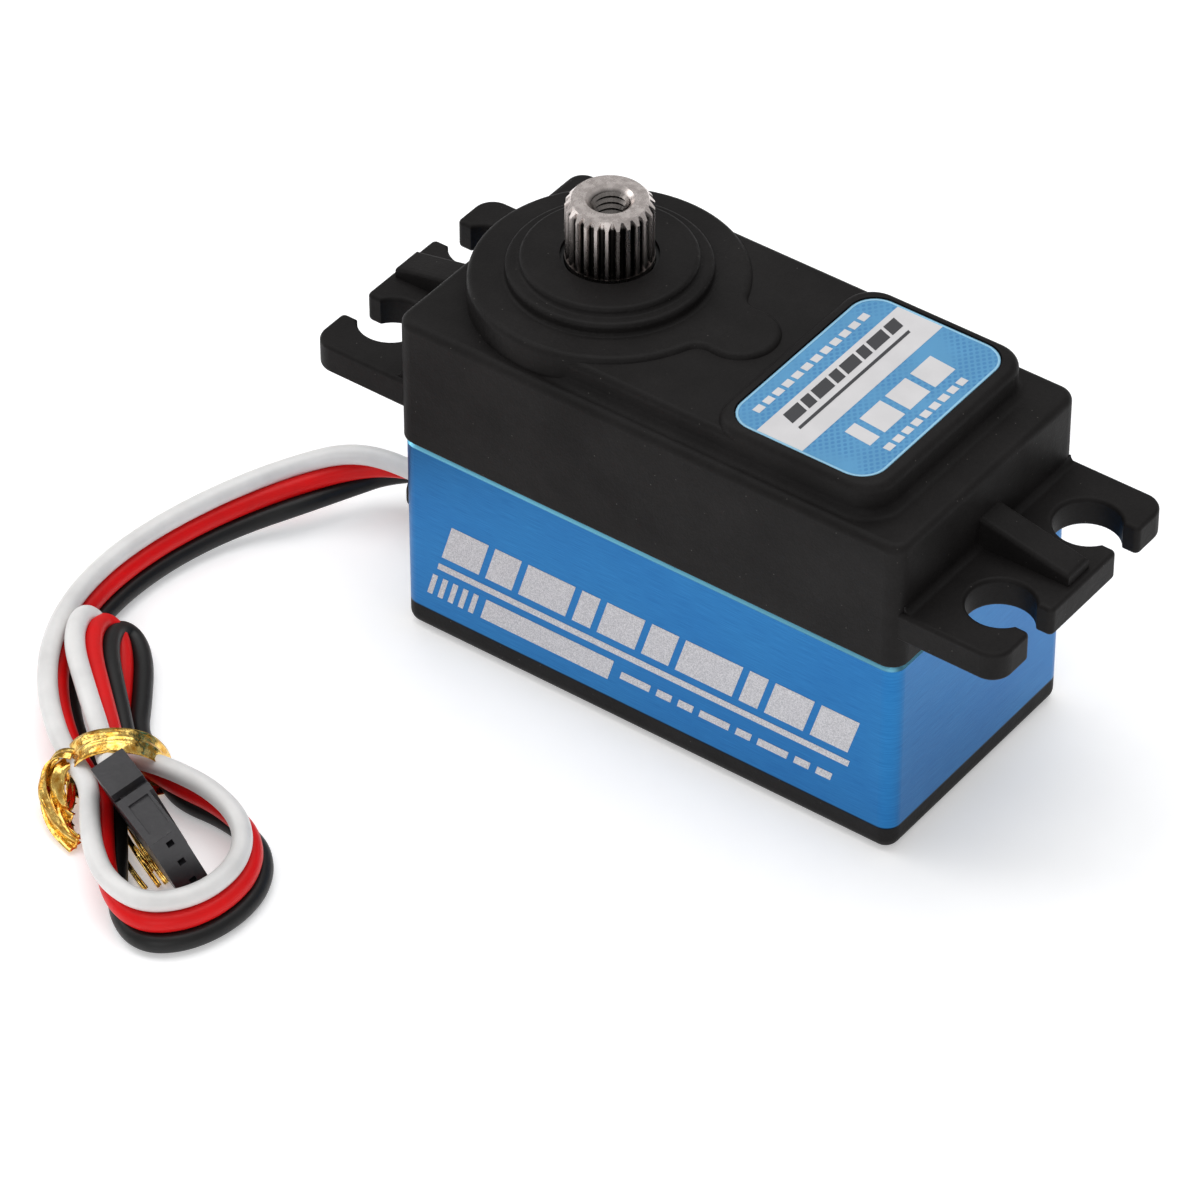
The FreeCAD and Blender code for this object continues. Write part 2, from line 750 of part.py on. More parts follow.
def spline_face():
    """The plan of the fine spline: pointed teeth with narrow flat crests."""
    count = int(size("spline_count"))
    outer, root = size("spline_outer"), size("spline_root")
    step = 2 * math.pi / count
    corners = []
    for number in range(count):
        for radius, share in ((outer, -0.13), (outer, 0.13), (root, 0.38), (root, 0.62)):
            angle = (number + share) * step
            corners.append(Vector(radius * math.cos(angle), radius * math.sin(angle), 0))
    return Part.Face(Part.makePolygon(corners + corners[:1]))


def make_output_gear(wheel):
    """Output gear, journals and spline in one piece, with the hole for the horn screw."""
    axis = "output_axis"
    height = size("spline_top") - size("boss_height")
    teeth = solid("teeth", spline_face().extrude(Vector(0, 0, height)))
    teeth.Placement = Placement(Vector(size(axis), 0, size("boss_height")), Rotation())
    envelope = joined(
        cylinder("spline_outer", "boss_height - 0.1", "spline_top - spline_chamfer", axis),
        cone("spline_outer", "spline_face", "spline_top - spline_chamfer", "spline_top", axis),
    )
    spline = doc.addObject("Part::Common", "spline")
    spline.Base = teeth
    spline.Tool = envelope
    body = joined(
        cylinder("lower_bore - 0.01", "tail_end", "output_gear_bottom", axis),
        wheel,
        cylinder("upper_bore + 0.6", "output_gear_top", "upper_bottom", axis),
        cylinder("upper_bore - 0.01", "upper_bottom", "boss_height", axis),
        spline,
    )
    keep(
        "output_gear",
        without(
            body,
            cylinder("horn_hole", "spline_top - horn_hole_depth", "spline_top + 0.1", axis),
            cone("horn_hole", "horn_sink", "spline_top - 0.35", "spline_top", axis),
            cylinder("pot_shaft + 0.02", "tail_end - 0.1", "pot_shaft_top + 0.2", axis),
        ),
    )


def make_pins():
    keep("centre_gear_shaft", cylinder("centre_pin", "pin_bottom", "centre_pin_top", "centre_axis"))
    pin = cylinder("second_pin", "pin_bottom", "second_pin_top", "second_axis_x", "second_axis_y")
    keep("second_gear_shaft", pin)


# Ball bearings on the output axis.


def ring(inner, outer, bottom, groove_radius, ball_circle):
    """A bearing ring with a ball groove, on the output axis."""
    top = f"{bottom} + bearing_height"
    hole = cylinder(inner, f"{bottom} - 0.1", f"{top} + 0.1", "output_axis")
    blank = without(cylinder(outer, bottom, top, "output_axis"), hole)
    groove = doc.addObject("Part::Torus", "groove")
    groove.setExpression("Radius1", formula(ball_circle))
    groove.setExpression("Radius2", formula(groove_radius))
    return without(blank, place(groove, "output_axis", "0", f"{bottom} + bearing_height / 2"))


def make_bearing(name, bore, outer, bottom, ball):
    """Outer ring, inner ring and nine balls."""
    ball_circle = f"({bore} + {outer}) / 2"
    land = f"{ball} * 0.68"
    groove = f"{ball} + 0.04"
    keep(f"{name}_outer_ring", ring(f"{ball_circle} + {land}", outer, bottom, groove, ball_circle))
    keep(f"{name}_inner_ring", ring(bore, f"{ball_circle} - {land}", bottom, groove, ball_circle))
    balls = []
    for number in range(9):
        item = doc.addObject("Part::Sphere", "ball")
        item.setExpression("Radius", formula(ball))
        reach = f"({ball_circle}) * cos({40 * number} deg)", f"({ball_circle}) * sin({40 * number} deg)"
        balls.append(place(item, f"output_axis + {reach[0]}", reach[1], f"{bottom} + bearing_height / 2"))
    keep(f"{name}_balls", group(*balls))


# Motor, potentiometer and electronics.


def make_motor():
    x, y = motor_centre()
    here = (x, y)
    can = joined(
        cylinder("motor_radius", "motor_bottom + 0.6", "deck_underside", *here),
        cylinder("pilot_radius", "deck_underside - 0.1", "pilot_top", *here),
    )
    hollow = cylinder("motor_radius - motor_skin", "motor_bottom", "deck_underside - 0.8", *here)
    keep("motor_can", without(can, hollow, cylinder("motor_shaft + 0.1", "5", "pilot_top + 0.1", *here)))
    cap = joined(
        cylinder("motor_radius", "motor_bottom", "motor_bottom + 0.6", *here),
        cylinder("motor_radius - motor_skin - 0.03", "motor_bottom + 0.5", "motor_bottom + 1.4", *here),
    )
    shaft_hole = cylinder("motor_shaft + 0.1", "motor_bottom + 0.6", "motor_bottom + 2", *here)
    keep("motor_end_cap", without(cap, shaft_hole))
    keep("motor_shaft", cylinder("motor_shaft", "motor_bottom + 0.7", "pinion_top", *here))
    magnet = cylinder("magnet_radius", "motor_bottom + 2.4", "deck_underside - 1.6", *here)
    bore = cylinder("motor_shaft + 0.01", "motor_bottom", "deck_underside", *here)
    keep("motor_magnet", without(magnet, bore))
    stator = cylinder("motor_radius - motor_skin - 0.03", "motor_bottom + 2", "deck_underside - 1.2", *here)
    keep("motor_stator", without(stator, cylinder("stator_inner", "motor_bottom", "deck_underside", *here)))
    pins = [cylinder("0.4", "board_top", "motor_bottom", x - 4.5, y + 2.5 * side) for side in (-1, 0, 1)]
    keep("motor_terminals", group(*pins))


def make_potentiometer():
    axis = "output_axis"
    drum = cylinder("pot_radius", "pot_bottom", "pot_top", axis)
    collar = cylinder("pot_collar", "pot_top - 0.1", "pot_collar_top", axis)
    leg = (("-4.2", "-3.9"), ("board_top", "pot_bottom + 0.1"))
    legs = [block((f"{axis} + {x} - 0.3", f"{axis} + {x} + 0.3"), *leg) for x in (-1.6, 0, 1.6)]
    bore = cylinder("pot_shaft + 0.04", "pot_bottom + 1", "pot_collar_top + 0.1", axis)
    keep("potentiometer_body", without(joined(drum, collar, *legs), bore))
    keep("potentiometer_shaft", cylinder("pot_shaft", "pot_bottom + 1.1", "pot_shaft_top", axis))


def make_electronics():
    edge_x, edge_y = "case_length / 2 - metal_wall - 0.3", "case_width / 2 - metal_wall - 0.3"
    height = ("board_bottom", "board_top")
    board = joined(
        block(("3 - case_length / 2", edge_x), ("0.3 - post_inner_y", "post_inner_y - 0.3"), height),
        block(("0.3 - post_inner_x", "post_inner_x - 0.3"), (f"-({edge_y})", edge_y), height),
    )
    keep("control_board", board)
    # middle of each chip, then its length, width and height
    footprints = [
        (-14, 2, 4, 4, 0.9),
        (-8.6, 4.6, 3.2, 3.2, 0.8),
        (-4.4, -5.4, 3, 2.4, 1.1),
        (-0.9, -5.4, 3, 2.4, 1.1),
        (-13, -6, 2, 1.2, 0.6),
    ]
    chips = []
    for x, y, length, width, tall in footprints:
        plan = (x - length / 2, x + length / 2), (y - width / 2, y + width / 2)
        chips.append(block(*plan, ("board_top", f"board_top + {tall}")))
    keep("board_chips", group(*chips))
    can = cylinder("2.5", "board_top", "board_top + 8", "-2.3", "4.6")
    keep("board_capacitor", eased(can, 0.4, level(size("board_top") + 8)))


def long_block(x, half_width, half_height, bend):
    """A block along X with its long edges rounded, centred on the lead's height."""
    height = (f"boot_centre - ({half_height})", f"boot_centre + ({half_height})")
    item = block(x, (f"-({half_width})", half_width), height)

    def runs_along(edge):
        spots = edge_spots(edge)
        return abs(spots[1].x - spots[-1].x) > 0.2 and abs(spots[1].y - spots[-1].y) < 1e-6

    return eased(item, bend, runs_along)


def make_grommet():
    """The strain relief: a plug in the case wall, and a ribbed boot around the lead."""
    wall = "case_length / 2"
    inner, half = f"metal_wall - {wall}", "grommet_half_width"
    flange = ("cover_height + 0.1", "grommet_top + 0.55")
    pieces = [
        block((f"{inner} + 0.05", f"{inner} + 1"), ("-3.2", "3.2"), flange),
        block((f"-{wall}", f"{inner} + 0.1"), (f"-{half}", half), ("cover_height", "grommet_top")),
        long_block(("-boot_tip", f"-{wall}"), "boot_half_width - 0.45", "boot_half_height - 0.4", 0.8),
    ]
    ribs = [(f"-{wall}", 1.2)] + [(f"-{wall} - 1.9 - {number} * 0.95", 0.55) for number in range(4)]
    for near, thick in ribs:
        x = (f"{near} - {thick}", near)
        pieces.append(long_block(x, "boot_half_width", "boot_half_height", size("boot_round")))
    keep("cable_grommet", joined(*pieces))


# The lead: three wires side by side. Each row is a point of the middle wire's route and the direction
# from it across to the signal wire; the ground wire lies the same distance the other way.

ARCH_ROUTE = [
    ((-25.5, 0.0, 3.6), (0.0, -1.0, 0.0)),
    ((-28.0, -0.9, 3.6), (0.25, -0.48, 0.84)),
    ((-30.4, -3.0, 3.4), (-0.15, 0.15, 0.98)),
    ((-32.5, -5.8, 2.9), (-0.45, 0.5, 0.75)),
    ((-34.4, -8.9, 2.5), (-0.3, 0.3, 0.9)),
    ((-35.8, -12.5, 2.3), (-0.25, 0.15, 0.95)),
    ((-36.7, -16.5, 2.2), (-0.3, 0.0, 0.95)),
    ((-36.9, -20.9, 2.2), (-0.35, -0.15, 0.9)),
    ((-36.2, -25.1, 2.2), (-0.35, -0.25, 0.9)),
    ((-34.5, -29.1, 2.2), (-0.3, -0.3, 0.9)),
    ((-31.7, -32.5, 2.2), (-0.4, -0.35, 0.85)),
    ((-28.4, -35.2, 2.2), (-0.45, -0.4, 0.8)),
]


def wire_route(side):
    """The route of one wire: side is 1, 0 or -1 across the lead."""
    reach = side * size("wire_pitch")
    return [Vector(*spot) + Vector(*across).normalize() * reach for spot, across in ARCH_ROUTE]


def tube_path(route):
    """Straight runs joined by tangent arcs, each as large as its two runs allow. Prints the radii."""
    edges, radii = [], []
    here = route[0]
    for before, corner, after in zip(route, route[1:], route[2:]):
        back, ahead = before - corner, after - corner
        room = 0.45 * min(back.Length, ahead.Length)
        half_turn = (math.pi - back.getAngle(ahead)) / 2
        radii.append(room / math.tan(half_turn))
        start = corner + back.normalize() * room
        end = corner + ahead.normalize() * room
        inward = (start + end) * 0.5 - corner
        centre = corner + inward.normalize() * math.hypot(radii[-1], room)
        middle = centre - (centre - corner).normalize() * radii[-1]
        edges.append(Part.LineSegment(here, start).toShape())
        edges.append(Part.Arc(start, middle, end).toShape())
        here = end
    edges.append(Part.LineSegment(here, route[-1]).toShape())
    print("arc radii:", " ".join(f"{radius:.1f}" for radius in radii))
    return Part.Wire(edges)


def make_wires():
    radius = size("wire_diameter") / 2
    for name, side in (("signal_wire", 1), ("power_wire", 0), ("ground_wire", -1)):
        route = wire_route(side)
        path = tube_path(route)
        circle = Part.Circle(route[0], route[1] - route[0], radius)
        tube = path.makePipeShell([Part.Wire(circle.toShape())], True, True)
        share = tube.Volume / (math.pi * radius**2 * path.Length)
        print(name, "length", round(path.Length, 2), "volume over section times length", round(share, 4))
        keep(name, solid(name, tube))


def turned_block(length, width, corner, height, centre, turn):
    """An upright rounded block, turned about its own middle."""
    item = prism(length, width, corner, "0", height)
    item.Placement = Placement(Vector(0, 0, 0), Rotation(Vector(0, 0, 1), turn))
    return place(item, *centre)


# The middle line of the lower loop, from the end of the arch, once round, and back under the tie.

LOOP_OUTLINE = [
    (-28.4, -35.2),
    (-25.6, -37.3),
    (-23.3, -40.0),
    (-21.0, -42.5),
    (-18.1, -44.5),
    (-15.0, -45.2),
    (-12.5, -44.2),
    (-11.1, -41.4),
    (-10.9, -38.3),
    (-12.7, -35.6),
    (-15.7, -34.2),
    (-19.0, -34.0),
    (-22.6, -33.4),
    (-24.7, -32.4),
]


def make_hank():
    """The folded and tied end of the lead, as its outer shape: a fold, and a strand that follows the loop."""
    pieces = [turned_block("15", "4.6", "2.2", "fold_height", ("-28.95", "-29.84", "0"), 134.5)]
    for number, (start, end) in enumerate(zip(LOOP_OUTLINE, LOOP_OUTLINE[1:])):
        run = math.dist(start, end)
        middle = [str((a + b) / 2) for a, b in zip(start, end)]
        turn = math.degrees(math.atan2(end[1] - start[1], end[0] - start[0]))
        pieces.append(turned_block(str(run), "strand_width", "0.1", "hank_height", (*middle, "0"), turn))
        if number:
            pieces.append(cylinder("strand_width / 2", "0", "hank_height", str(start[0]), str(start[1])))
    keep("wire_hank", joined(*pieces))


def make_tie():
    """The foil tie: a band around the strands, with its two ends twisted together beside them."""
    turn = Rotation(Vector(0, 0, 1), -41)
    band = block(("-0.8", "0.8"), ("-3.6", "3.4"), ("0", "5.3"))
    window = block(("-1", "1"), ("-3.2", "3.0"), ("0.35", "4.95"))
    knot = block(("-1.2", "3.2"), ("-5.4", "-3.4"), ("0", "2.6"))
    tie = joined(without(band, window), knot)
    tie.Placement = Placement(Vector(-25.2, -35.9, 0), turn)
    keep("twist_tie", tie)


def make_plug():
    """A three-way plug leaning over on its narrow side inside the loop, and its three sockets."""
    length, width, thick = "plug_length", "plug_width", "plug_thickness"
    shell = block(("0", length), ("0", thick), ("0", width))
    sockets, cuts = [], []

    def about(centre, half):
        return f"{centre} - {half}", f"{centre} + {half}"

    for number in (-1, 0, 1):
        height, across = f"{width} / 2 + {number} * plug_pitch", f"{thick} / 2"
        cuts.append(block(("2.2", "4.2"), ("-0.1", "0.5"), about(height, 0.5)))
        cuts.append(block(("1", f"{length} + 0.1"), about(across, 0.5), about(height, 0.5)))
        socket = block(("1.1", f"{length} - 0.6"), about(across, 0.45), about(height, 0.45))
        bore = block((f"{length} - 5", f"{length} - 0.5"), about(across, 0.3), about(height, 0.3))
        sockets.append(without(socket, bore))
    step = block(("4.9", f"{length} + 0.1"), (f"{thick} - 0.3", f"{thick} + 0.1"), ("-0.1", f"{width} + 0.1"))
    housing = without(shell, step, *cuts)
    tilt = Rotation(Vector(0, 0, 1), -27.5).multiply(Rotation(Vector(0, 1, 0), -7.4))
    tilt = tilt.multiply(Rotation(Vector(1, 0, 0), 21))
    corner = Vector(-21.74, -37.6, 0.3)
    for name, item in (("plug_housing", housing), ("plug_contacts", group(*sockets))):
        item.Placement = Placement(corner, tilt)
        keep(name, item)


def write_parts():
    """Checks every object and each sub-part's shape, then writes one file for each."""
    doc.recompute()
    broken = [item.Label for item in doc.Objects if {"Invalid", "Error"} & set(item.State)]
    broken += [name for name, item in PARTS.items() if item.Shape.isNull() or not item.Shape.isValid()]
    if broken:
        raise RuntimeError(f"failed: {', '.join(broken)}")
    os.makedirs("parts", exist_ok=True)
    for name, item in PARTS.items():
        item.Shape.exportStep(f"parts/{name}.step")
        print(f"{name}: {len(item.Shape.Solids)} solid(s), {item.Shape.Volume:.1f} mm3")


make_bottom_cover()
make_middle_case()
make_top_case()
make_seals()
keep("case_screws", group(*at_screws(make_screw)))
make_label()
make_gears()
make_pins()
make_bearing("upper_bearing", "upper_bore", "upper_outer", "upper_bottom", "upper_ball")
make_bearing("lower_bearing", "lower_bore", "lower_outer", "lower_bottom", "lower_ball")
make_motor()
make_potentiometer()
make_electronics()
make_grommet()
make_wires()
make_hank()
make_tie()
make_plug()
write_parts()
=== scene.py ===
import json
import math
import random

import bmesh
import bpy
from mathutils import Matrix, Vector


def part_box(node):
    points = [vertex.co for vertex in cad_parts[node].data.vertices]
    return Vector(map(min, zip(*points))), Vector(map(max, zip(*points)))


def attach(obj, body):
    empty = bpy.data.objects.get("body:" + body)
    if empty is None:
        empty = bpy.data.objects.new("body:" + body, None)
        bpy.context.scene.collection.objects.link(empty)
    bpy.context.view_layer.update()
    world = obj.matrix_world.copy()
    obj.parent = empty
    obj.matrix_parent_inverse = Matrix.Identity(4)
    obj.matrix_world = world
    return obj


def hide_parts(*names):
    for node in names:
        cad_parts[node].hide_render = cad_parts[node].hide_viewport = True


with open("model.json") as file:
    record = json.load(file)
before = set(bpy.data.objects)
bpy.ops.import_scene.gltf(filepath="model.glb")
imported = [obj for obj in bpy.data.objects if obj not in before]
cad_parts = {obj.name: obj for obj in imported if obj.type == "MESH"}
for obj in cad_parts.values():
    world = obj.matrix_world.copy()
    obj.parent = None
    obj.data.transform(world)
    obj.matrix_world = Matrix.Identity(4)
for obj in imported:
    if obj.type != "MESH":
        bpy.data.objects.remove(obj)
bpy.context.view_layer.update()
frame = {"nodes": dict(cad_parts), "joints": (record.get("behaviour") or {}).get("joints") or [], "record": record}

# Looks for the servo motor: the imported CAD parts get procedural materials, and the lead, the foil tie, the plug,
# the printed and etched art and the horn screw's thread are built around them. Sizes and places are given in
# millimetres, which MM turns into Blender's metres, apart from those of the studio. +X runs towards the label end,
# and +Z up along the output shaft.

MM = 0.001


def mm(x, y, z):
    return Vector((x, y, z)) * MM


def hinge_x(name):
    """Where a joint's upright axis crosses X, in millimetres."""
    return next(joint["pos_m"][0] / MM for joint in frame["joints"] if joint["name"] == name)


OUTPUT_X = hinge_x("output_spin")


# Camera: a long lens, so the case is seen with little perspective. It aims to the left of the case and below
# its middle, to take in the lead.

CAMERA_AZIMUTH = math.radians(36.42)
CAMERA_ELEVATION = math.radians(40.52)
CAMERA_DISTANCE = 469.1 * MM
CAMERA_LENS = 211.3
CASE_MIDDLE = mm(0, 0, 10)
AIM_LEFT, AIM_DOWN = 8.77, 3.80


def make_camera():
    side, rise = CAMERA_AZIMUTH, CAMERA_ELEVATION
    right = Vector((math.cos(side), math.sin(side), 0))
    back = Vector((math.sin(side) * math.cos(rise), -math.cos(side) * math.cos(rise), math.sin(rise)))
    up = back.cross(right)
    target = CASE_MIDDLE - right * AIM_LEFT * MM - up * AIM_DOWN * MM
    data = bpy.data.cameras.new("camera")
    data.lens = CAMERA_LENS
    data.sensor_width = 36
    data.clip_start = 0.01
    data.clip_end = 20
    camera = bpy.data.objects.new("camera", data)
    camera.matrix_world = Matrix((right, up, back)).transposed().to_4x4()
    camera.matrix_world.translation = target + back * CAMERA_DISTANCE
    bpy.context.scene.collection.objects.link(camera)
    bpy.context.scene.camera = camera


make_camera()


# Materials: one small builder, then a function for each kind of surface.


class Surface:
    """A material with its shader, and short ways to add nodes to it. Positions are those of the CAD frame."""

    def __init__(self, name, **values):
        self.material = bpy.data.materials.new(name)
        self.material.use_nodes = True
        self.tree = self.material.node_tree
        self.shader = self.tree.nodes["Principled BSDF"]
        self.place = self.add("ShaderNodeTexCoord").outputs["Object"]
        for name, value in values.items():
            self.set(name.replace("_", " "), value)

    def set(self, name, value):
        """Sets one of the shader's sockets to a number or colour, or links it to an output."""
        self.feed(self.shader.inputs[name], value)

    def add(self, kind, **settings):
        node = self.tree.nodes.new(kind)
        for name, value in settings.items():
            setattr(node, name, value)
        return node

    def feed(self, socket, value):
        if isinstance(value, bpy.types.NodeSocket):
            self.tree.links.new(value, socket)
        elif socket.type == "RGBA" and len(value) == 3:
            socket.default_value = (*value, 1)
        else:
            socket.default_value = value

    def stretched(self, x, y, z, turn=0.0):
        """The position, turned about Z and multiplied along each axis. A pattern is longer where it is under 1."""
        node = self.add("ShaderNodeMapping", vector_type="TEXTURE")
        self.feed(node.inputs["Vector"], self.place)
        node.inputs["Rotation"].default_value = (0, 0, turn)
        node.inputs["Scale"].default_value = (1 / x, 1 / y, 1 / z)
        return node.outputs["Vector"]

    def noise(self, size, detail=3.0, vector=None, roughness=0.55):
        """Noise with features of a size in millimetres."""
        node = self.add("ShaderNodeTexNoise")
        self.feed(node.inputs["Vector"], vector or self.place)
        node.inputs["Scale"].default_value = 1 / (size * MM)
        node.inputs["Detail"].default_value = detail
        node.inputs["Roughness"].default_value = roughness
        return node.outputs["Fac"]

    def cells(self, size):
        """Distance from the middles of cells of a size in millimetres."""
        node = self.add("ShaderNodeTexVoronoi")
        self.feed(node.inputs["Vector"], self.place)
        node.inputs["Scale"].default_value = 1 / (size * MM)
        return node.outputs["Distance"]

    def ramp(self, factor, *stops):
        """A colour ramp through (position, colour) stops."""
        node = self.add("ShaderNodeValToRGB")
        self.feed(node.inputs["Fac"], factor)
        ends = node.color_ramp.elements
        while len(ends) < len(stops):
            ends.new(0.5)
        for end, (position, colour) in zip(ends, stops):
            end.position = position
            end.color = (*colour, 1) if len(colour) == 3 else colour
        return node.outputs["Color"]

    def levels(self, factor, low, high):
        """The factor, from 0 to 1, spread between two numbers."""
        node = self.add("ShaderNodeMapRange")
        self.feed(node.inputs["Value"], factor)
        node.inputs["To Min"].default_value = low
        node.inputs["To Max"].default_value = high
        return node.outputs["Result"]

    def between(self, factor, low, high):
        """0 at low, 1 at high and a straight slope between them, level past both. low may be the larger."""
        node = self.add("ShaderNodeMapRange")
        self.feed(node.inputs["Value"], factor)
        node.inputs["From Min"].default_value = low
        node.inputs["From Max"].default_value = high
        return node.outputs["Result"]

    def math(self, operation, a, b=0.0):
        node = self.add("ShaderNodeMath", operation=operation)
        self.feed(node.inputs[0], a)
        self.feed(node.inputs[1], b)
        return node.outputs["Value"]

    def mix(self, factor, a, b):
        """Colour a where the factor is 0, b where it is 1."""
        node = self.add("ShaderNodeMix", data_type="RGBA")
        self.feed(node.inputs["Factor"], factor)
        self.feed(node.inputs[6], a)
        self.feed(node.inputs[7], b)
        return node.outputs[2]

    def axis(self, letter):
        """One coordinate of the position, in metres."""
        node = self.add("ShaderNodeSeparateXYZ")
        self.feed(node.inputs["Vector"], self.place)
        return node.outputs[letter]

    def bump(self, height, depth, under=None):
        """Adds relief to the shader's normal; depth is in millimetres."""
        node = self.add("ShaderNodeBump")
        node.inputs["Strength"].default_value = 1.0
        node.inputs["Distance"].default_value = depth * MM
        self.feed(node.inputs["Height"], height)
        if under is not None:
            self.feed(node.inputs["Normal"], under)
        self.set("Normal", node.outputs["Normal"])
        return node.outputs["Normal"]


DUST_TINT = (0.075, 0.070, 0.066)


def moulded_plastic(name, tint, roughness=0.52, grain=0.16, relief=0.016, gloss=0.12):
    """Textured injection-moulded plastic with handling marks and a few specks of dust."""
    surface = Surface(name, Specular_IOR_Level=gloss)
    worn = surface.noise(7, 4)
    mottle = surface.levels(surface.noise(0.3, 6, roughness=0.85), 0.35, 1.65)
    lighter = tuple(channel * 1.7 + 0.002 for channel in tint)
    colour = surface.ramp(surface.math("MULTIPLY", worn, mottle), (0.32, tint), (0.72, lighter))
    specks = surface.between(surface.cells(0.9), 0.055, 0.03)
    surface.set("Base Color", surface.mix(specks, colour, DUST_TINT))
    surface.set("Roughness", surface.levels(surface.noise(2.2, 5), roughness - 0.07, roughness + 0.12))
    fine = surface.bump(surface.noise(grain, 3), relief)
    surface.bump(surface.noise(1.4, 2), 0.03, fine)
    return surface.material


def brushed_blue():
    """Blue anodised aluminium, brushed level all round, with a painted highlight on its chamfered top edge, and
    dark at the seam.
    """
    surface = Surface("blue_anodised", Metallic=1.0)
    streaks = surface.noise(0.06, 4, surface.stretched(0.03, 0.03, 1.0), 0.7)
    broad = surface.noise(0.5, 3, surface.stretched(0.05, 0.05, 1.0))
    clouds = surface.noise(9, 2)
    colour = surface.ramp(streaks, (0.30, (0.020, 0.145, 0.37)), (0.72, (0.042, 0.25, 0.54)))
    shade = surface.mix(surface.levels(clouds, 0.0, 0.55), colour, (0.010, 0.105, 0.36))
    height, (low, high) = surface.axis("Z"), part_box("middle_case")
    # Painted highlight: the chamfered top edge is coloured pale cyan for the light it catches.
    chamfer_highlight = surface.between(height, high[2] - 0.46 * MM, high[2] - 0.42 * MM)
    bright = surface.mix(chamfer_highlight, shade, (0.26, 0.74, 1.0))
    seam = surface.between(height, low[2] + 0.16 * MM, low[2] + 0.06 * MM)
    surface.set("Base Color", surface.mix(seam, bright, (0.004, 0.010, 0.02)))
    surface.set("Roughness", surface.levels(broad, 0.30, 0.42))
    surface.set("Anisotropic", 0.5)
    surface.bump(streaks, 0.006)
    return surface.material


def etched_grey():
    """Laser-etched areas: matt, pale and speckled."""
    surface = Surface("etched_grey", Metallic=0.35, Roughness=0.62)
    speckle = surface.noise(0.09, 4)
    surface.set("Base Color", surface.ramp(speckle, (0.32, (0.40, 0.40, 0.43)), (0.68, (0.74, 0.73, 0.75))))
    surface.bump(speckle, 0.01)
    return surface.material


def machined_metal(name, tint, roughness, streak=(1, 1, 1)):
    """Cut and ground metal: fine tool marks, longer along an axis whose streak is under 1, and slight stains."""
    surface = Surface(name, Metallic=1.0)
    marks = surface.noise(0.12, 5, surface.stretched(*streak), 0.65)
    darker = tuple(channel * 0.72 for channel in tint)
    colour = surface.ramp(marks, (0.30, darker), (0.65, tint))
    stain = surface.levels(surface.noise(1.3, 3), 0.0, 0.4)
    surface.set("Base Color", surface.mix(stain, colour, tuple(channel * 0.8 for channel in tint)))
    surface.set("Roughness", surface.levels(marks, roughness - 0.06, roughness + 0.10))
    surface.bump(marks, 0.004)
    return surface.material


def shaft_steel():
    """Turned steel: bright crests and end face, with painted shade between the teeth, down the hole and towards
    the foot.
    """
    surface = Surface("shaft_steel", Metallic=1.0)
    marks = surface.noise(0.5, 2, surface.stretched(1, 1, 0.1))
    steel = surface.ramp(marks, (0.3, (0.62, 0.558, 0.532)), (0.7, (0.80, 0.73, 0.70)))
    across = surface.math("SUBTRACT", surface.axis("X"), OUTPUT_X * MM)
    squared = surface.math("MULTIPLY", across, across), surface.math("POWER", surface.axis("Y"), 2.0)
    radius = surface.math("SQRT", surface.math("ADD", *squared))
    height, top = surface.axis("Z"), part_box("output_gear")[1][2]
    # Painted shade: the gaps between the teeth, under the end face, are coloured near black.
    under_end = surface.between(height, top - 0.40 * MM, top - 0.60 * MM)
    gap = surface.math("MULTIPLY", under_end, surface.between(radius, 2.90 * MM, 2.74 * MM))
    gap_shaded = surface.mix(gap, steel, (0.020, 0.018, 0.017))
    # Painted shade: the inside of the hole is coloured dark.
    hole = surface.between(radius, 1.45 * MM, 1.20 * MM)
    hole_shaded = surface.mix(hole, gap_shaded, (0.045, 0.041, 0.039))
    # Painted shade: the steel is coloured darker towards the foot of the shaft.
    foot = surface.levels(surface.between(height, top - 2.4 * MM, top - 4.6 * MM), 0.0, 0.75)
    surface.set("Base Color", surface.mix(foot, hole_shaded, (0.03, 0.028, 0.026)))
    surface.set("Roughness", surface.levels(marks, 0.20, 0.34))
    return surface.material


def wire_jacket(name, tint, roughness=0.32, gloss=0.5):
    """Soft glossy wire insulation with a faint lengthways unevenness and finger marks."""
    surface = Surface(name, Specular_IOR_Level=gloss)
    surface.set("Subsurface Weight", 0.04)
    surface.set("Subsurface Radius", (0.3 * MM, 0.2 * MM, 0.2 * MM))
    smudge = surface.noise(3.5, 4)
    dull = tuple(channel * 0.86 + 0.004 for channel in tint)
    surface.set("Base Color", surface.ramp(smudge, (0.35, dull), (0.65, tint)))
    surface.set("Roughness", surface.levels(surface.noise(1.2, 4), roughness - 0.05, roughness + 0.12))
    surface.bump(surface.noise(0.8, 2), 0.015)
    return surface.material


def gold_foil():
    """Crumpled metallised film, bright gold, with patches of deep amber painted shade laid on at random."""
    surface = Surface("gold_foil", Metallic=1.0, Roughness=0.20)
    # Painted shade: noise darkens the gold to deep amber in patches, standing for shade in the creases.
    fold_shade = surface.noise(0.55, 3)
    surface.set("Base Color", surface.ramp(fold_shade, (0.34, (0.62, 0.27, 0.025)), (0.60, (1.0, 0.70, 0.20))))
    surface.set("Roughness", surface.levels(surface.noise(0.9, 2), 0.14, 0.34))
    creases = surface.bump(surface.noise(1.6, 1), 0.30)
    surface.bump(surface.noise(0.5, 2), 0.05, creases)
    return surface.material


LATTICE_TURN = math.radians(38)
LATTICE_SCALE = 800


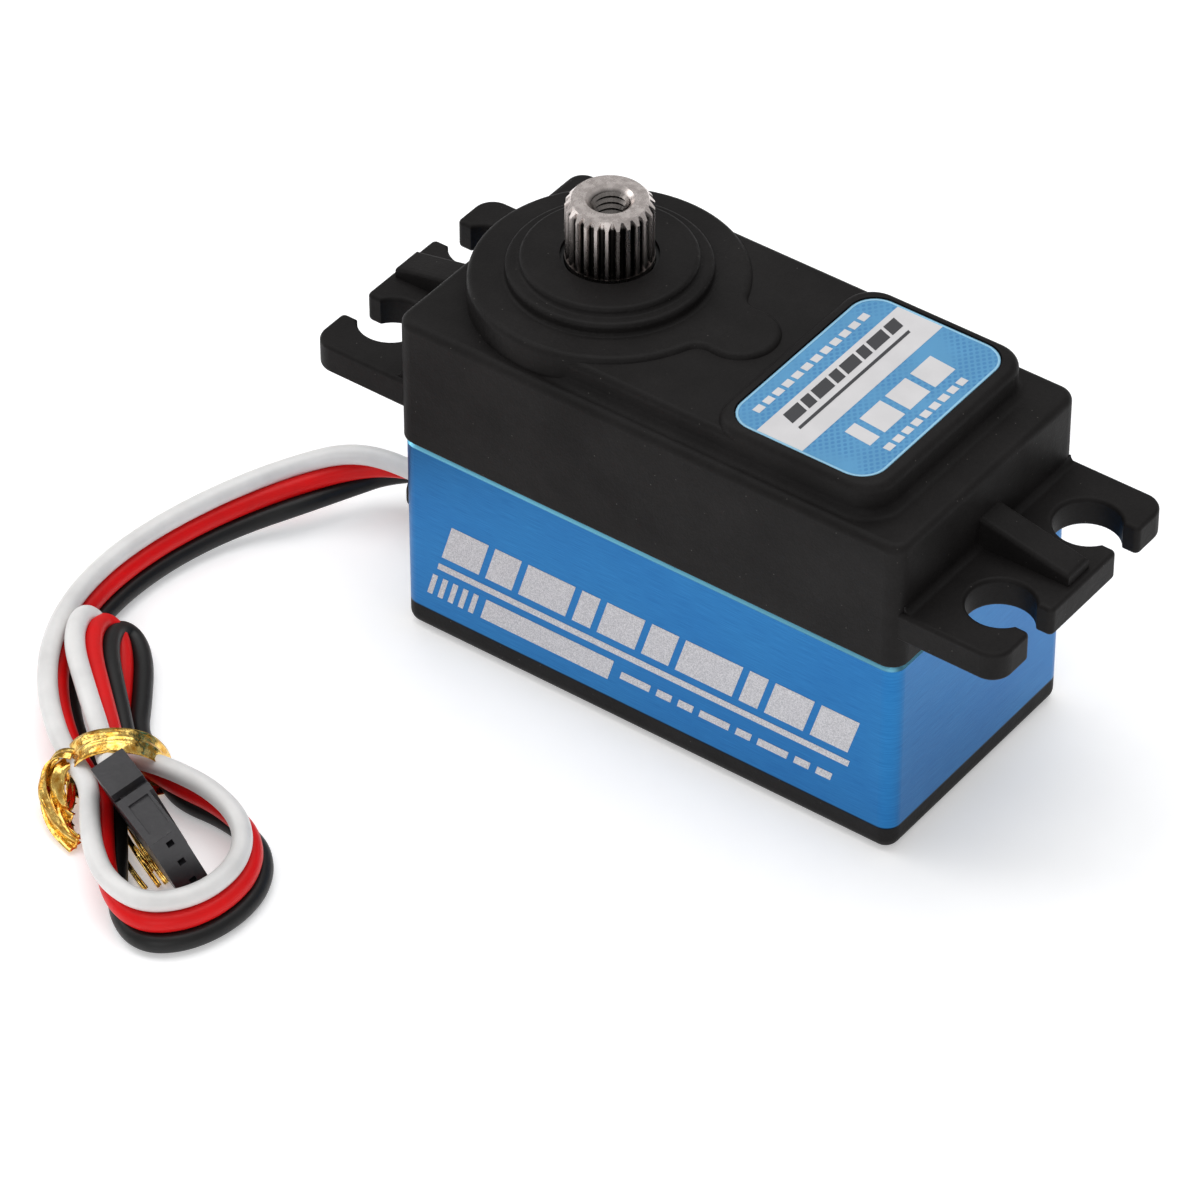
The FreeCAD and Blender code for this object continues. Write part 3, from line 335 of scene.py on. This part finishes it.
def printed_film(name, tint, pattern_tint=None):
    """Printed label film: clear gloss over ink, with a fine lattice of diamonds where it has a pattern."""
    surface = Surface(name, Coat_Weight=0.25, Coat_Roughness=0.25, Roughness=0.34)
    faded = tuple(channel * 0.93 for channel in tint)
    colour = surface.ramp(surface.noise(2.5, 3), (0.35, faded), (0.65, tint))
    if pattern_tint:
        lines = []
        for turn in (LATTICE_TURN, -LATTICE_TURN):
            wave = surface.add("ShaderNodeTexWave", wave_type="BANDS", bands_direction="X", wave_profile="SIN")
            surface.feed(wave.inputs["Vector"], surface.stretched(1, 1, 1, turn))
            wave.inputs["Scale"].default_value = LATTICE_SCALE
            lines.append(wave.outputs["Fac"])
        lattice = surface.math("MULTIPLY", *lines)
        patch = surface.between(surface.noise(3.2, 2), 0.36, 0.56)
        amount = surface.math("MULTIPLY", surface.between(lattice, 0.12, 0.45), patch)
        colour = surface.mix(amount, colour, pattern_tint)
    surface.set("Base Color", colour)
    surface.bump(surface.noise(0.5, 2), 0.004)
    return surface.material


def plain_rubber(name, tint):
    """Matt rubber with a fine tooth."""
    surface = Surface(name, Specular_IOR_Level=0.35)
    soft = surface.noise(0.9, 4)
    lighter = tuple(channel * 1.6 + 0.003 for channel in tint)
    surface.set("Base Color", surface.ramp(soft, (0.35, tint), (0.7, lighter)))
    surface.set("Roughness", surface.levels(soft, 0.55, 0.75))
    surface.bump(surface.noise(0.2, 3), 0.01)
    return surface.material


def floor_paper():
    """Seamless white studio paper."""
    surface = Surface("studio_paper", Roughness=0.9, Specular_IOR_Level=0.1)
    grain = surface.noise(1.5, 3)
    surface.set("Base Color", surface.ramp(grain, (0.3, (0.90, 0.90, 0.905)), (0.7, (0.93, 0.93, 0.935))))
    surface.set("Emission Color", (1, 1, 1))
    surface.set("Emission Strength", 0.3)
    return surface.material


# The materials of the record's slots, and of the pieces that differ from their slot's.

MATERIALS = {
    "black_plastic": moulded_plastic("case_black", (0.0066, 0.0059, 0.0058)),
    "blue_aluminium": brushed_blue(),
    "label_film": printed_film("label_blue", (0.085, 0.31, 0.56), (0.045, 0.22, 0.47)),
    "gear_steel": shaft_steel(),
    "bright_steel": machined_metal("bright_steel", (0.75, 0.74, 0.73), 0.18),
    "motor_steel": machined_metal("motor_steel", (0.55, 0.55, 0.56), 0.35, (1, 1, 0.1)),
    "screw_steel": machined_metal("screw_steel", (0.10, 0.10, 0.105), 0.36),
    "gear_brass": machined_metal("gear_brass", (0.80, 0.60, 0.28), 0.25),
    "contact_brass": machined_metal("contact_brass", (0.85, 0.66, 0.30), 0.22),
    "winding_copper": machined_metal("winding_copper", (0.75, 0.36, 0.18), 0.30, (1, 1, 6)),
    "capacitor_can": machined_metal("capacitor_can", (0.60, 0.60, 0.64), 0.30),
    "board_green": moulded_plastic("board_green", (0.012, 0.12, 0.035), 0.35, 0.4),
    "chip_black": moulded_plastic("chip_black", (0.012, 0.012, 0.012), 0.5),
    "pot_plastic": moulded_plastic("pot_blue", (0.02, 0.03, 0.10), 0.45),
    "seal_rubber": plain_rubber("seal_rubber", (0.010, 0.010, 0.010)),
    "boot_rubber": plain_rubber("boot_rubber", (0.012, 0.011, 0.011)),
    "white_wire": wire_jacket("white_jacket", (0.80, 0.79, 0.78)),
    "red_wire": wire_jacket("red_jacket", (0.76, 0.005, 0.006), 0.36, 0.2),
    "black_wire": wire_jacket("black_jacket", (0.007, 0.007, 0.007), 0.40, 0.3),
    "gold_foil": gold_foil(),
}
PLUG_BLACK = moulded_plastic("plug_black", (0.020, 0.019, 0.021), 0.30, 0.3, 0.008, 0.5)
LABEL_WHITE = printed_film("label_white", (0.68, 0.67, 0.68))
LABEL_DARK = printed_film("label_dark", (0.035, 0.035, 0.04))
LABEL_EDGE = printed_film("label_edge", (0.30, 0.60, 0.82))
ETCHED = etched_grey()
THREAD_STEEL = machined_metal("thread_steel", (0.30, 0.275, 0.26), 0.26)


def dress_cad_nodes():
    """Gives every CAD node the material of its record slot."""
    slots = {entry["node"]: entry["material_slot"] for entry in frame["record"]["subparts"]}
    for node, item in frame["nodes"].items():
        material = MATERIALS[slots[node]]
        item.data.materials.clear()
        item.data.materials.append(material)


# Ways to make pieces.


def finish_piece(item, material, body="case"):
    """Gives a new piece its material and the body it rides on."""
    item.data.materials.append(material)
    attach(item, body)
    return item


def mesh_piece(name, builder, material, body="case", smooth=True):
    """A piece from a bmesh, which it uses up."""
    data = bpy.data.meshes.new(name)
    bmesh.ops.recalc_face_normals(builder, faces=builder.faces)
    builder.to_mesh(data)
    builder.free()
    for face in data.polygons:
        face.use_smooth = smooth
    item = bpy.data.objects.new(name, data)
    bpy.context.scene.collection.objects.link(item)
    return finish_piece(item, material, body)


def spline_curve(name, points, radius, order=3):
    """An open NURBS curve through metres, with a round bevel."""
    data = bpy.data.curves.new(name, "CURVE")
    data.dimensions = "3D"
    data.resolution_u = 12
    data.bevel_depth = radius
    data.bevel_resolution = 6
    data.use_fill_caps = True
    spline = data.splines.new("NURBS")
    spline.points.add(len(points) - 1)
    for point, spot in zip(spline.points, points):
        point.co = (*spot, 1)
    spline.order_u = order
    spline.use_endpoint_u = True
    item = bpy.data.objects.new(name, data)
    bpy.context.scene.collection.objects.link(item)
    return item


def centre_line(points, order=3):
    """The points that a NURBS curve passes through, for pieces laid along it."""
    curve = spline_curve("guide", points, 0.0, order)
    mesh = bpy.data.meshes.new_from_object(curve)
    line = [vertex.co.copy() for vertex in mesh.vertices]
    bpy.data.meshes.remove(mesh)
    bpy.data.objects.remove(curve)
    return line


# The lead: three wires side by side. Each row is a point of the middle red power wire, and the direction from it
# across to the white signal wire. The black ground wire lies the same distance the other way. INTO_PLUG is the
# last row, and its direction is longer than 1, because the wires spread there to the pitch of the sockets.

WIRE_DIAMETER = 1.4
WIRE_PITCH = 1.4
ARCH = [
    ((-25.5, 0.0, 3.6), (0.0, -0.85, 0.5)),
    ((-28.0, -0.9, 3.6), (0.25, -0.48, 0.84)),
    ((-30.4, -3.0, 3.4), (-0.15, 0.15, 0.98)),
    ((-32.5, -5.8, 2.9), (-0.45, 0.5, 0.75)),
    ((-34.4, -8.9, 2.5), (-0.3, 0.3, 0.9)),
    ((-35.8, -12.5, 2.3), (-0.25, 0.15, 0.95)),
    ((-36.7, -16.5, 2.2), (-0.3, 0.0, 0.95)),
    ((-36.9, -20.9, 2.2), (-0.35, -0.15, 0.9)),
    ((-36.2, -25.1, 2.2), (-0.35, -0.25, 0.9)),
    ((-34.5, -29.1, 2.2), (-0.3, -0.3, 0.9)),
    ((-31.7, -32.5, 2.2), (-0.4, -0.35, 0.85)),
    ((-28.4, -35.2, 2.2), (-0.45, -0.4, 0.8)),
]
LOOP_AND_FOLD = [
    ((-26.3, -36.4, 2.1), (-0.45, -0.4, 0.8)),
    ((-23.5, -37.8, 2.1), (-0.45, -0.35, 0.82)),
    ((-21.4, -40.3, 2.0), (-0.5, -0.4, 0.78)),
    ((-19.2, -42.8, 1.95), (-0.5, -0.2, 0.84)),
    ((-16.7, -45.0, 2.0), (-0.4, 0.1, 0.9)),
    ((-13.9, -45.6, 2.0), (-0.3, 0.3, 0.9)),
    ((-11.8, -43.8, 2.0), (-0.35, 0.25, 0.9)),
    ((-10.8, -40.7, 2.0), (-0.4, 0.0, 0.9)),
    ((-11.3, -37.3, 2.0), (-0.42, -0.2, 0.88)),
    ((-13.5, -34.7, 2.0), (-0.35, -0.3, 0.9)),
    ((-16.9, -33.8, 2.05), (-0.2, -0.2, 0.95)),
    ((-20.2, -34.0, 2.1), (-0.1, -0.1, 0.98)),
    ((-22.8, -33.5, 1.8), (-0.45, -0.45, 0.77)),
    ((-25.2, -32.7, 1.15), (-0.69, -0.68, 0.25)),
    ((-27.6, -31.4, 1.1), (-0.69, -0.68, 0.25)),
    ((-29.3, -28.9, 1.1), (-0.69, -0.68, 0.25)),
    ((-31.9, -25.4, 1.3), (-0.69, -0.68, 0.3)),
    ((-33.8, -24.0, 2.0), (-0.57, -0.62, 0.6)),
    ((-34.3, -25.2, 3.1), (-0.55, -0.6, 0.7)),
    ((-32.7, -27.9, 3.5), (-0.56, -0.64, 0.55)),
    ((-29.0, -31.1, 3.3), (-0.5, -0.6, 0.65)),
    ((-25.8, -33.8, 3.0), (-0.4, -0.5, 0.75)),
    ((-24.2, -35.6, 3.05), (-0.35, -0.35, 0.88)),
    ((-23.4, -36.5, 3.15), (-0.28, -0.26, 0.92)),
]
INTO_PLUG = ((-21.6, -37.52, 3.4), (-0.351, -0.341, 1.192))


def wire_points(side):
    """The route of one wire; side is 1, 0 or -1 across the lead."""
    rows = [(spot, Vector(across).normalized()) for spot, across in ARCH + LOOP_AND_FOLD]
    spot, across = INTO_PLUG
    rows.append((spot, Vector(across)))
    return [(Vector(spot) + across * side * WIRE_PITCH) * MM for spot, across in rows]


def length_along(points):
    return sum((b - a).length for a, b in zip(points, points[1:]))


def make_wires():
    wires = {}
    for node, side, slot in (
        ("signal_wire", 1, "white_wire"),
        ("power_wire", 0, "red_wire"),
        ("ground_wire", -1, "black_wire"),
    ):
        points = wire_points(side)
        wire = spline_curve(f"{node}_cord", points, WIRE_DIAMETER / 2 * MM)
        finish_piece(wire, MATERIALS[slot])
        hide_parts(node)
        wires[node] = (wire, points)
    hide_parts("wire_hank")
    return wires


WIRES = make_wires()


# The plug: a slim three-way housing, standing on its narrow side, tilted in the loop.

PLUG_LENGTH, PLUG_THICKNESS, PLUG_WIDTH = 9.6, 2.5, 5.7
SOCKET_PITCH, SOCKET_DEPTH, SOCKET_HALF = 1.8, 8.6, 0.24
WINDOW_START, WINDOW_END, WINDOW_HALF = 2.2, 4.2, 0.5
GROOVE_START, SHOULDER = 3.5, 4.0
PLUG_EDGE = 0.12
PLUG_CORNER = mm(-21.74, -37.6, 0.3)
PLUG_TURN = (
    Matrix.Rotation(math.radians(-27.5), 3, "Z")
    @ Matrix.Rotation(math.radians(-7.4), 3, "Y")
    @ Matrix.Rotation(math.radians(21), 3, "X")
)


def in_plug(x, y, z):
    """A place in the plug: x along it from the wires, y through it, z up its side."""
    return PLUG_CORNER + PLUG_TURN @ mm(x, y, z)


def add_box(builder, low, high, place=mm):
    """Adds a closed box between two corners, in millimetres."""
    corners = [
        builder.verts.new(place(*(pair[pick] for pair, pick in zip(zip(low, high), (i, j, k)))))
        for i in (0, 1)
        for j in (0, 1)
        for k in (0, 1)
    ]
    for face in ((0, 1, 3, 2), (4, 6, 7, 5), (0, 4, 5, 1), (2, 3, 7, 6), (0, 2, 6, 4), (1, 5, 7, 3)):
        builder.faces.new([corners[corner] for corner in face])


def cut_boxes(item, boxes, place):
    """Cuts boxes out of a piece, and applies the cut."""
    builder = bmesh.new()
    for low, high in boxes:
        add_box(builder, low, high, place)
    bmesh.ops.recalc_face_normals(builder, faces=builder.faces)
    data = bpy.data.meshes.new("cutter")
    builder.to_mesh(data)
    builder.free()
    cutter = bpy.data.objects.new("cutter", data)
    bpy.context.scene.collection.objects.link(cutter)
    cut = item.modifiers.new("cut", "BOOLEAN")
    cut.operation = "DIFFERENCE"
    cut.solver = "EXACT"
    cut.use_self = True
    cut.object = cutter
    bpy.context.view_layer.objects.active = item
    with bpy.context.temp_override(object=item, active_object=item):
        bpy.ops.object.modifier_apply(modifier="cut")
    bpy.data.objects.remove(cutter)


def make_plug():
    """The housing: three sockets in its end, a latch window in its side over each, a groove across its top, a
    lower top beyond it with a shallow panel, and a step down the far side."""
    builder = bmesh.new()
    add_box(builder, (0, 0, 0), (PLUG_LENGTH, PLUG_THICKNESS, PLUG_WIDTH), in_plug)
    housing = mesh_piece("plug_shell", builder, PLUG_BLACK, smooth=False)
    centre, past_end = PLUG_THICKNESS / 2, PLUG_LENGTH + 1
    past_side, past_top = PLUG_THICKNESS + 1, PLUG_WIDTH + 1
    cuts = []
    for z in (PLUG_WIDTH / 2 + number * SOCKET_PITCH for number in (-1, 0, 1)):
        low = (PLUG_LENGTH - SOCKET_DEPTH, centre - SOCKET_HALF, z - SOCKET_HALF)
        cuts.append((low, (past_end, centre + SOCKET_HALF, z + SOCKET_HALF)))
        cuts.append(((WINDOW_START, -0.5, z - WINDOW_HALF), (WINDOW_END, 0.5, z + WINDOW_HALF)))
    cuts.append(((GROOVE_START, -1, PLUG_WIDTH - 0.6), (SHOULDER, past_side, past_top)))
    cuts.append(((SHOULDER - 0.1, -1, PLUG_WIDTH - 0.28), (past_end, past_side, past_top)))
    cuts.append(((SHOULDER + 1.0, 0.5, PLUG_WIDTH - 0.42), (PLUG_LENGTH - 1.0, PLUG_THICKNESS - 0.5, past_top)))
    cuts.append(((SHOULDER + 0.9, PLUG_THICKNESS - 0.3, -1), (past_end, past_side, past_top)))
    cut_boxes(housing, cuts, in_plug)
    rounding = housing.modifiers.new("rounding", "BEVEL")
    rounding.width = PLUG_EDGE * MM
    rounding.segments = 2
    rounding.limit_method = "ANGLE"
    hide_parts("plug_housing")
    return housing


PLUG = make_plug()


def declare_wires():
    """Measures each wire's length along its centre line; nothing uses the length."""
    for node, (wire, points) in WIRES.items():
        length = length_along(centre_line(points))


declare_wires()


# The tie: a narrow strip of gold foil wound round the strands, twisted into a knot at one side.

TIE_CENTRE = Vector((-24.75, -35.35, 0.0))
TIE_ALONG = Vector((0.665, 0.747, 0.0))
TIE_ACROSS = Vector((0.747, -0.665, 0.0))
FOIL_THICKNESS = 0.05 * MM
FOIL_FLOOR = 0.06 * MM
FOIL_LANES = 6
FOIL_RIPPLE = 0.09
FOIL_CRUMPLE = 0.08


def in_tie(u, v, z):
    """A place by the tie, in millimetres: u across the strands, v along them towards the plug."""
    return (TIE_CENTRE + TIE_ALONG * u + TIE_ACROSS * v + Vector((0, 0, z))) * MM


def foil_strip(name, points, width, seed, pleat, turn=0.0, side=TIE_ACROSS):
    """A thin strip of foil along a smooth path, its width along side, with pleats that run lengthways. turn is
    how far it twists in all, in radians. The pleats' wave moves on by FOIL_RIPPLE radians a step, with up to
    FOIL_CRUMPLE of chance in it."""
    chance = random.Random(seed)
    path = centre_line(points, 4)
    phases = [chance.uniform(0, math.tau) for lane in range(FOIL_LANES + 1)]
    builder = bmesh.new()
    rows = []
    for number, here in enumerate(path):
        heading = (path[min(number + 1, len(path) - 1)] - path[max(number - 1, 0)]).normalized()
        side = (side - heading * side.dot(heading)).normalized()
        across = Matrix.Rotation(turn * number / len(path), 3, heading) @ side
        normal = heading.cross(across)
        row = []
        for lane, phase in enumerate(phases):
            wave = math.sin(phase + FOIL_RIPPLE * number) + chance.uniform(-FOIL_CRUMPLE, FOIL_CRUMPLE)
            spot = here + (across * (lane / FOIL_LANES - 0.5) * width + normal * pleat * wave) * MM
            spot.z = max(spot.z, FOIL_FLOOR)
            row.append(builder.verts.new(spot))
        rows.append(row)
    for near, far in zip(rows, rows[1:]):
        for lane in range(FOIL_LANES):
            builder.faces.new((near[lane], near[lane + 1], far[lane + 1], far[lane]))
    item = mesh_piece(name, builder, MATERIALS["gold_foil"])
    skin = item.modifiers.new("thickness", "SOLIDIFY")
    skin.thickness = FOIL_THICKNESS
    skin.offset = 0
    return item


# The tie's strips of foil. Each row is one strip: the control points of its path, as (u, v, z) by the tie. A turn
# of the tie has a lean added to v.

TURN_LEANS = (-0.5, 0.45)
TURN = [
    (-2.9, -0.4, 1.6),
    (-2.9, -0.1, 3.2),
    (-2.2, 0.4, 4.8),
    (-0.5, 0.9, 5.6),
    (1.3, 1.0, 5.3),
    (2.8, 0.8, 4.2),
    (3.7, 0.5, 2.5),
    (4.1, 0.3, 1.0),
    (3.7, 0.1, 0.1),
    (0.0, -0.2, 0.1),
    (-2.6, -0.4, 0.2),
    (-3.1, -0.5, 1.4),
]
KNOT_FOLDS = [
    [(-2.5, 0.3, 4.2), (-3.4, -0.3, 4.2), (-4.2, -0.3, 3.2), (-4.4, 1.0, 2.1), (-4.1, 2.6, 1.4), (-3.5, 3.8, 1.0)],
    [(-2.7, -0.4, 2.6), (-3.8, -0.9, 3.0), (-4.6, 0.3, 2.2), (-4.6, 2.2, 1.3), (-4.0, 4.0, 0.8), (-3.1, 5.0, 0.6)],
    [(-2.9, 0.4, 3.6), (-3.6, 0.6, 3.6), (-4.0, 1.8, 2.4), (-3.6, 3.0, 1.7), (-3.0, 2.6, 2.0), (-2.9, 1.4, 2.7)],
    [(-3.0, -0.8, 1.2), (-4.2, -0.4, 1.2), (-4.7, 1.4, 0.8), (-4.3, 3.6, 0.5), (-3.3, 5.2, 0.4)],
    [(-2.9, -0.2, 3.2), (-4.3, -0.4, 2.6), (-4.8, 0.8, 1.8), (-4.4, 2.2, 1.3), (-3.3, 3.4, 1.2)],
    [(-3.0, 1.4, 1.3), (-3.7, 2.2, 1.7), (-3.8, 3.6, 1.2), (-3.2, 4.8, 0.7), (-2.7, 4.4, 0.6)],
]
LOOSE_ENDS = [
    [(-0.2, 0.0, 0.3), (0.2, 2.6, 0.3), (0.8, 5.6, 0.3), (1.4, 7.8, 0.3), (2.0, 9.7, 0.3)],
    [(-0.7, 0.0, 0.3), (-0.3, 2.6, 0.3), (0.3, 5.7, 0.3), (0.9, 7.9, 0.3), (1.5, 9.9, 0.3)],
    [(-1.2, 0.4, 0.3), (-0.6, 3.0, 0.3), (0.1, 5.0, 0.3), (0.8, 6.8, 0.3), (1.3, 8.4, 0.3)],
    [(-1.6, 0.5, 0.3), (-0.9, 4.5, 0.3), (-0.2, 8.0, 0.3), (0.6, 10.0, 0.3)],
]
TURN_WIDTH, KNOT_WIDTH, END_WIDTH = 1.15, 1.05, 0.34
TURN_PLEAT, KNOT_PLEAT, END_PLEAT = 0.08, 0.12, 0.03
KNOT_SEED, END_SEED = 20, 40


def make_tie():
    """Two turns around the strands, the bunched knot at their side, and the loose ends under the loop."""
    for number, lean in enumerate(TURN_LEANS):
        path = [in_tie(u, lean + v, z) for u, v, z in TURN]
        foil_strip(f"tie_turn_{number}", path, TURN_WIDTH, number, TURN_PLEAT)
    for number, fold in enumerate(KNOT_FOLDS):
        path = [in_tie(*spot) for spot in fold]
        twist = 0.9 - 0.35 * number
        foil_strip(f"tie_knot_{number}", path, KNOT_WIDTH, KNOT_SEED + number, KNOT_PLEAT, twist)
    for number, end in enumerate(LOOSE_ENDS):
        path = [in_tie(*spot) for spot in end]
        foil_strip(f"tie_end_{number}", path, END_WIDTH, END_SEED + number, END_PLEAT, 0.5, TIE_ALONG)
    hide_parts("twist_tie")


make_tie()


# Art: plain bars in place of any lettering, as thin shapes that lie just clear of the surface.

ART_THICKNESS = 0.012
ART_GAP = 0.004
LAYER_STEP = 0.014
BLOCK_GAP = 0.55


def art_piece(name, outlines, place, material):
    """Flat shapes, each an outline of (u, v) points, laid on a surface and a hair thick."""
    builder = bmesh.new()
    for outline in outlines:
        low = [builder.verts.new(place(u, v, 0.0)) for u, v in outline]
        high = [builder.verts.new(place(u, v, ART_THICKNESS)) for u, v in outline]
        builder.faces.new(low)
        builder.faces.new(high)
        for here in range(len(outline)):
            there = (here + 1) % len(outline)
            builder.faces.new((low[here], low[there], high[there], high[here]))
    return mesh_piece(name, builder, material, smooth=False)


def slanted(left, right, bottom, top, lean):
    """A bar whose ends lean over by that much from bottom to top."""
    return [(left, bottom), (right, bottom), (right + lean, top), (left + lean, top)]


def bar_row(left, widths, gap, bottom, top, lean):
    """Bars side by side, a gap apart."""
    bars = []
    for width in widths:
        bars.append(slanted(left, left + width, bottom, top, lean))
        left += width + gap
    return bars


def round_corners(length, width, corner):
    """A rounded rectangle centred on the origin."""
    steps = 8
    outline = []
    for turn, (x, y) in enumerate(((1, 1), (-1, 1), (-1, -1), (1, -1))):
        for step in range(steps + 1):
            angle = (turn + step / steps) * math.pi / 2
            centre = (x * (length / 2 - corner), y * (width / 2 - corner))
            outline.append((centre[0] + corner * math.cos(angle), centre[1] + corner * math.sin(angle)))
    return outline


def make_side_art():
    """Etched bars on the near side: a row of blocks, a rule, and a row of ticks, a long bar and dashes."""
    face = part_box("middle_case")[0][1] / MM

    def on_side(u, v, lift):
        return mm(u, face - ART_GAP - lift, v)

    lean = 0.9
    blocks = (3.1, 2.2, 3.9, 1.5, 3.1, 2.2, 4.6, 1.5, 3.1, 3.0)
    dashes = (2.4, 1.2, 1.2, 2.4, 1.2, 2.4, 1.2, 1.2)
    shapes = bar_row(-16.7, blocks, BLOCK_GAP, 7.2, 10.2, lean)
    shapes.append(slanted(-17.1, 16.5, 6.0, 6.55, lean * 0.17))
    shapes += bar_row(-18.0, [0.42] * 5, 0.44, 3.5, 5.35, lean * 0.6)
    shapes.append(slanted(-13.5, -2.9, 3.5, 5.35, lean * 0.6))
    shapes += bar_row(-1.9, dashes, BLOCK_GAP, 4.1, 4.75, lean * 0.2)
    art_piece("side_art", shapes, on_side, ETCHED)


def make_label_art():
    """A pale band with dark bars, and white blocks and dashes."""
    low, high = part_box("label")
    centre_x, centre_y = (low[0] + high[0]) / 2 / MM, (low[1] + high[1]) / 2 / MM
    top = high[2] / MM

    def on_label(u, v, lift):
        return mm(centre_x + v, centre_y + u, top + ART_GAP + lift)

    def on_band(u, v, lift):
        return on_label(u, v, lift + LAYER_STEP)

    half_width = (high[1] - low[1]) / 2 / MM - 0.05
    band = slanted(-half_width, half_width, -3.2, 0.35, 0.0)
    art_piece("label_band", [band], on_label, LABEL_WHITE)
    bars = bar_row(-6.0, (1.6, 0.9, 1.7, 0.9, 1.6, 0.9, 1.7, 1.2), 0.28, -1.75, -2.75, 0.35)
    bars.append(slanted(-6.2, 6.2, -1.0, -1.25, 0.1))
    art_piece("label_bars", bars, on_band, LABEL_DARK)
    blocks = bar_row(-4.9, (1.1, 2.3, 2.3, 2.3), BLOCK_GAP, 3.5, 1.4, 0.2)
    for start, end, level, count in ((-6.4, 6.4, -4.35, 12), (-4.6, 4.6, 4.55, 9)):
        step = (end - start) / count
        blocks += bar_row(start, [step * 0.7] * count, step * 0.3, level + 0.28, level - 0.28, 0.0)
    art_piece("label_blocks", blocks, on_label, LABEL_WHITE)


def make_label_edge():
    """The pale cut edge of the label film, as a narrow rounded frame on top of it."""
    low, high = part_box("label")
    centre = ((low[0] + high[0]) / 2 / MM, (low[1] + high[1]) / 2 / MM)
    length, width = (high[0] - low[0]) / MM, (high[1] - low[1]) / MM
    corner, frame_width, proud = 1.9, 0.18, 0.024
    outer = round_corners(length, width, corner)
    inner = round_corners(length - 2 * frame_width, width - 2 * frame_width, corner - frame_width)
    top = high[2] / MM + proud
    builder = bmesh.new()
    loops = []
    for outline, height in ((outer, top - 0.05), (outer, top), (inner, top), (inner, top - 0.02)):
        loops.append([builder.verts.new(mm(centre[0] + x, centre[1] + y, height)) for x, y in outline])
    for near, far in zip(loops, loops[1:]):
        for here in range(len(outer)):
            there = (here + 1) % len(outer)
            builder.faces.new((near[here], near[there], far[there], far[here]))
    mesh_piece("label_edge", builder, LABEL_EDGE)


make_side_art()
make_label_art()
make_label_edge()


# The metal detail in the shaft.


def make_horn_thread():
    """The screw thread in the end of the shaft: a sharp ridge that winds down the wall of the hole. The ridge's
    corners are each a radius and a rise."""
    pitch, turns, steps, inset = 0.5, 9, 28, 0.38
    ridge = ((1.27, 0.21), (1.06, 0.0), (1.27, -0.21))
    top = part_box("output_gear")[1][2] / MM - inset
    builder = bmesh.new()
    rows = []
    for number in range(turns * steps + 1):
        angle = number / steps * math.tau
        height = top - number / steps * pitch
        row = []
        for radius, rise in ridge:
            x, y = radius * math.cos(angle), radius * math.sin(angle)
            row.append(builder.verts.new(mm(OUTPUT_X + x, y, height + rise)))
        rows.append(row)
    for near, far in zip(rows, rows[1:]):
        for a, b in ((0, 1), (1, 2), (2, 0)):
            builder.faces.new((near[a], near[b], far[b], far[a]))
    builder.faces.new(rows[0])
    builder.faces.new(rows[-1])
    mesh_piece("horn_screw_thread", builder, THREAD_STEEL, "output", smooth=False)


make_horn_thread()


# Studio, in metres: white paper, a broad top light, a soft light from the left and a low fill from the front. The
# paper lies a hair under the object, so that the two don't share a plane.

PAPER_REACH = 2.0
PAPER_BELOW = 0.00002
SKY = 0.42
LIGHTS = [
    ("top", (-0.05, 0.10, 0.55), (0, 0, 0), (0.5, 0.5), 1.7),
    ("left", (-0.45, -0.10, 0.35), (0, 0, 0.01), (0.3, 0.4), 0.7),
    ("front", (0.25, -0.55, 0.30), (0, 0, 0.01), (0.4, 0.3), 0.8),
]


def make_floor():
    builder = bmesh.new()
    corners = ((-1, -1), (1, -1), (1, 1), (-1, 1))
    builder.faces.new(
        [builder.verts.new((x * PAPER_REACH, y * PAPER_REACH, -PAPER_BELOW)) for x, y in corners]
    )
    data = bpy.data.meshes.new("floor")
    builder.to_mesh(data)
    builder.free()
    floor = bpy.data.objects.new("floor", data)
    floor.data.materials.append(floor_paper())
    bpy.context.scene.collection.objects.link(floor)


def area_light(name, place, target, size, power):
    """A soft light at a place, turned to a target. Places and sizes are in metres, and the power in watts."""
    data = bpy.data.lights.new(name, "AREA")
    data.shape = "RECTANGLE"
    data.size, data.size_y = size
    data.energy = power
    light = bpy.data.objects.new(name, data)
    light.location = place
    light.rotation_euler = (Vector(target) - Vector(place)).to_track_quat("-Z", "Y").to_euler()
    bpy.context.scene.collection.objects.link(light)


def make_studio():
    make_floor()
    world = bpy.data.worlds.new("studio")
    world.use_nodes = True
    background = world.node_tree.nodes["Background"]
    background.inputs["Color"].default_value = (1, 1, 1, 1)
    background.inputs["Strength"].default_value = SKY
    bpy.context.scene.world = world
    for light in LIGHTS:
        area_light(*light)
    bpy.context.scene.view_settings.view_transform = "Standard"


make_studio()
dress_cad_nodes()
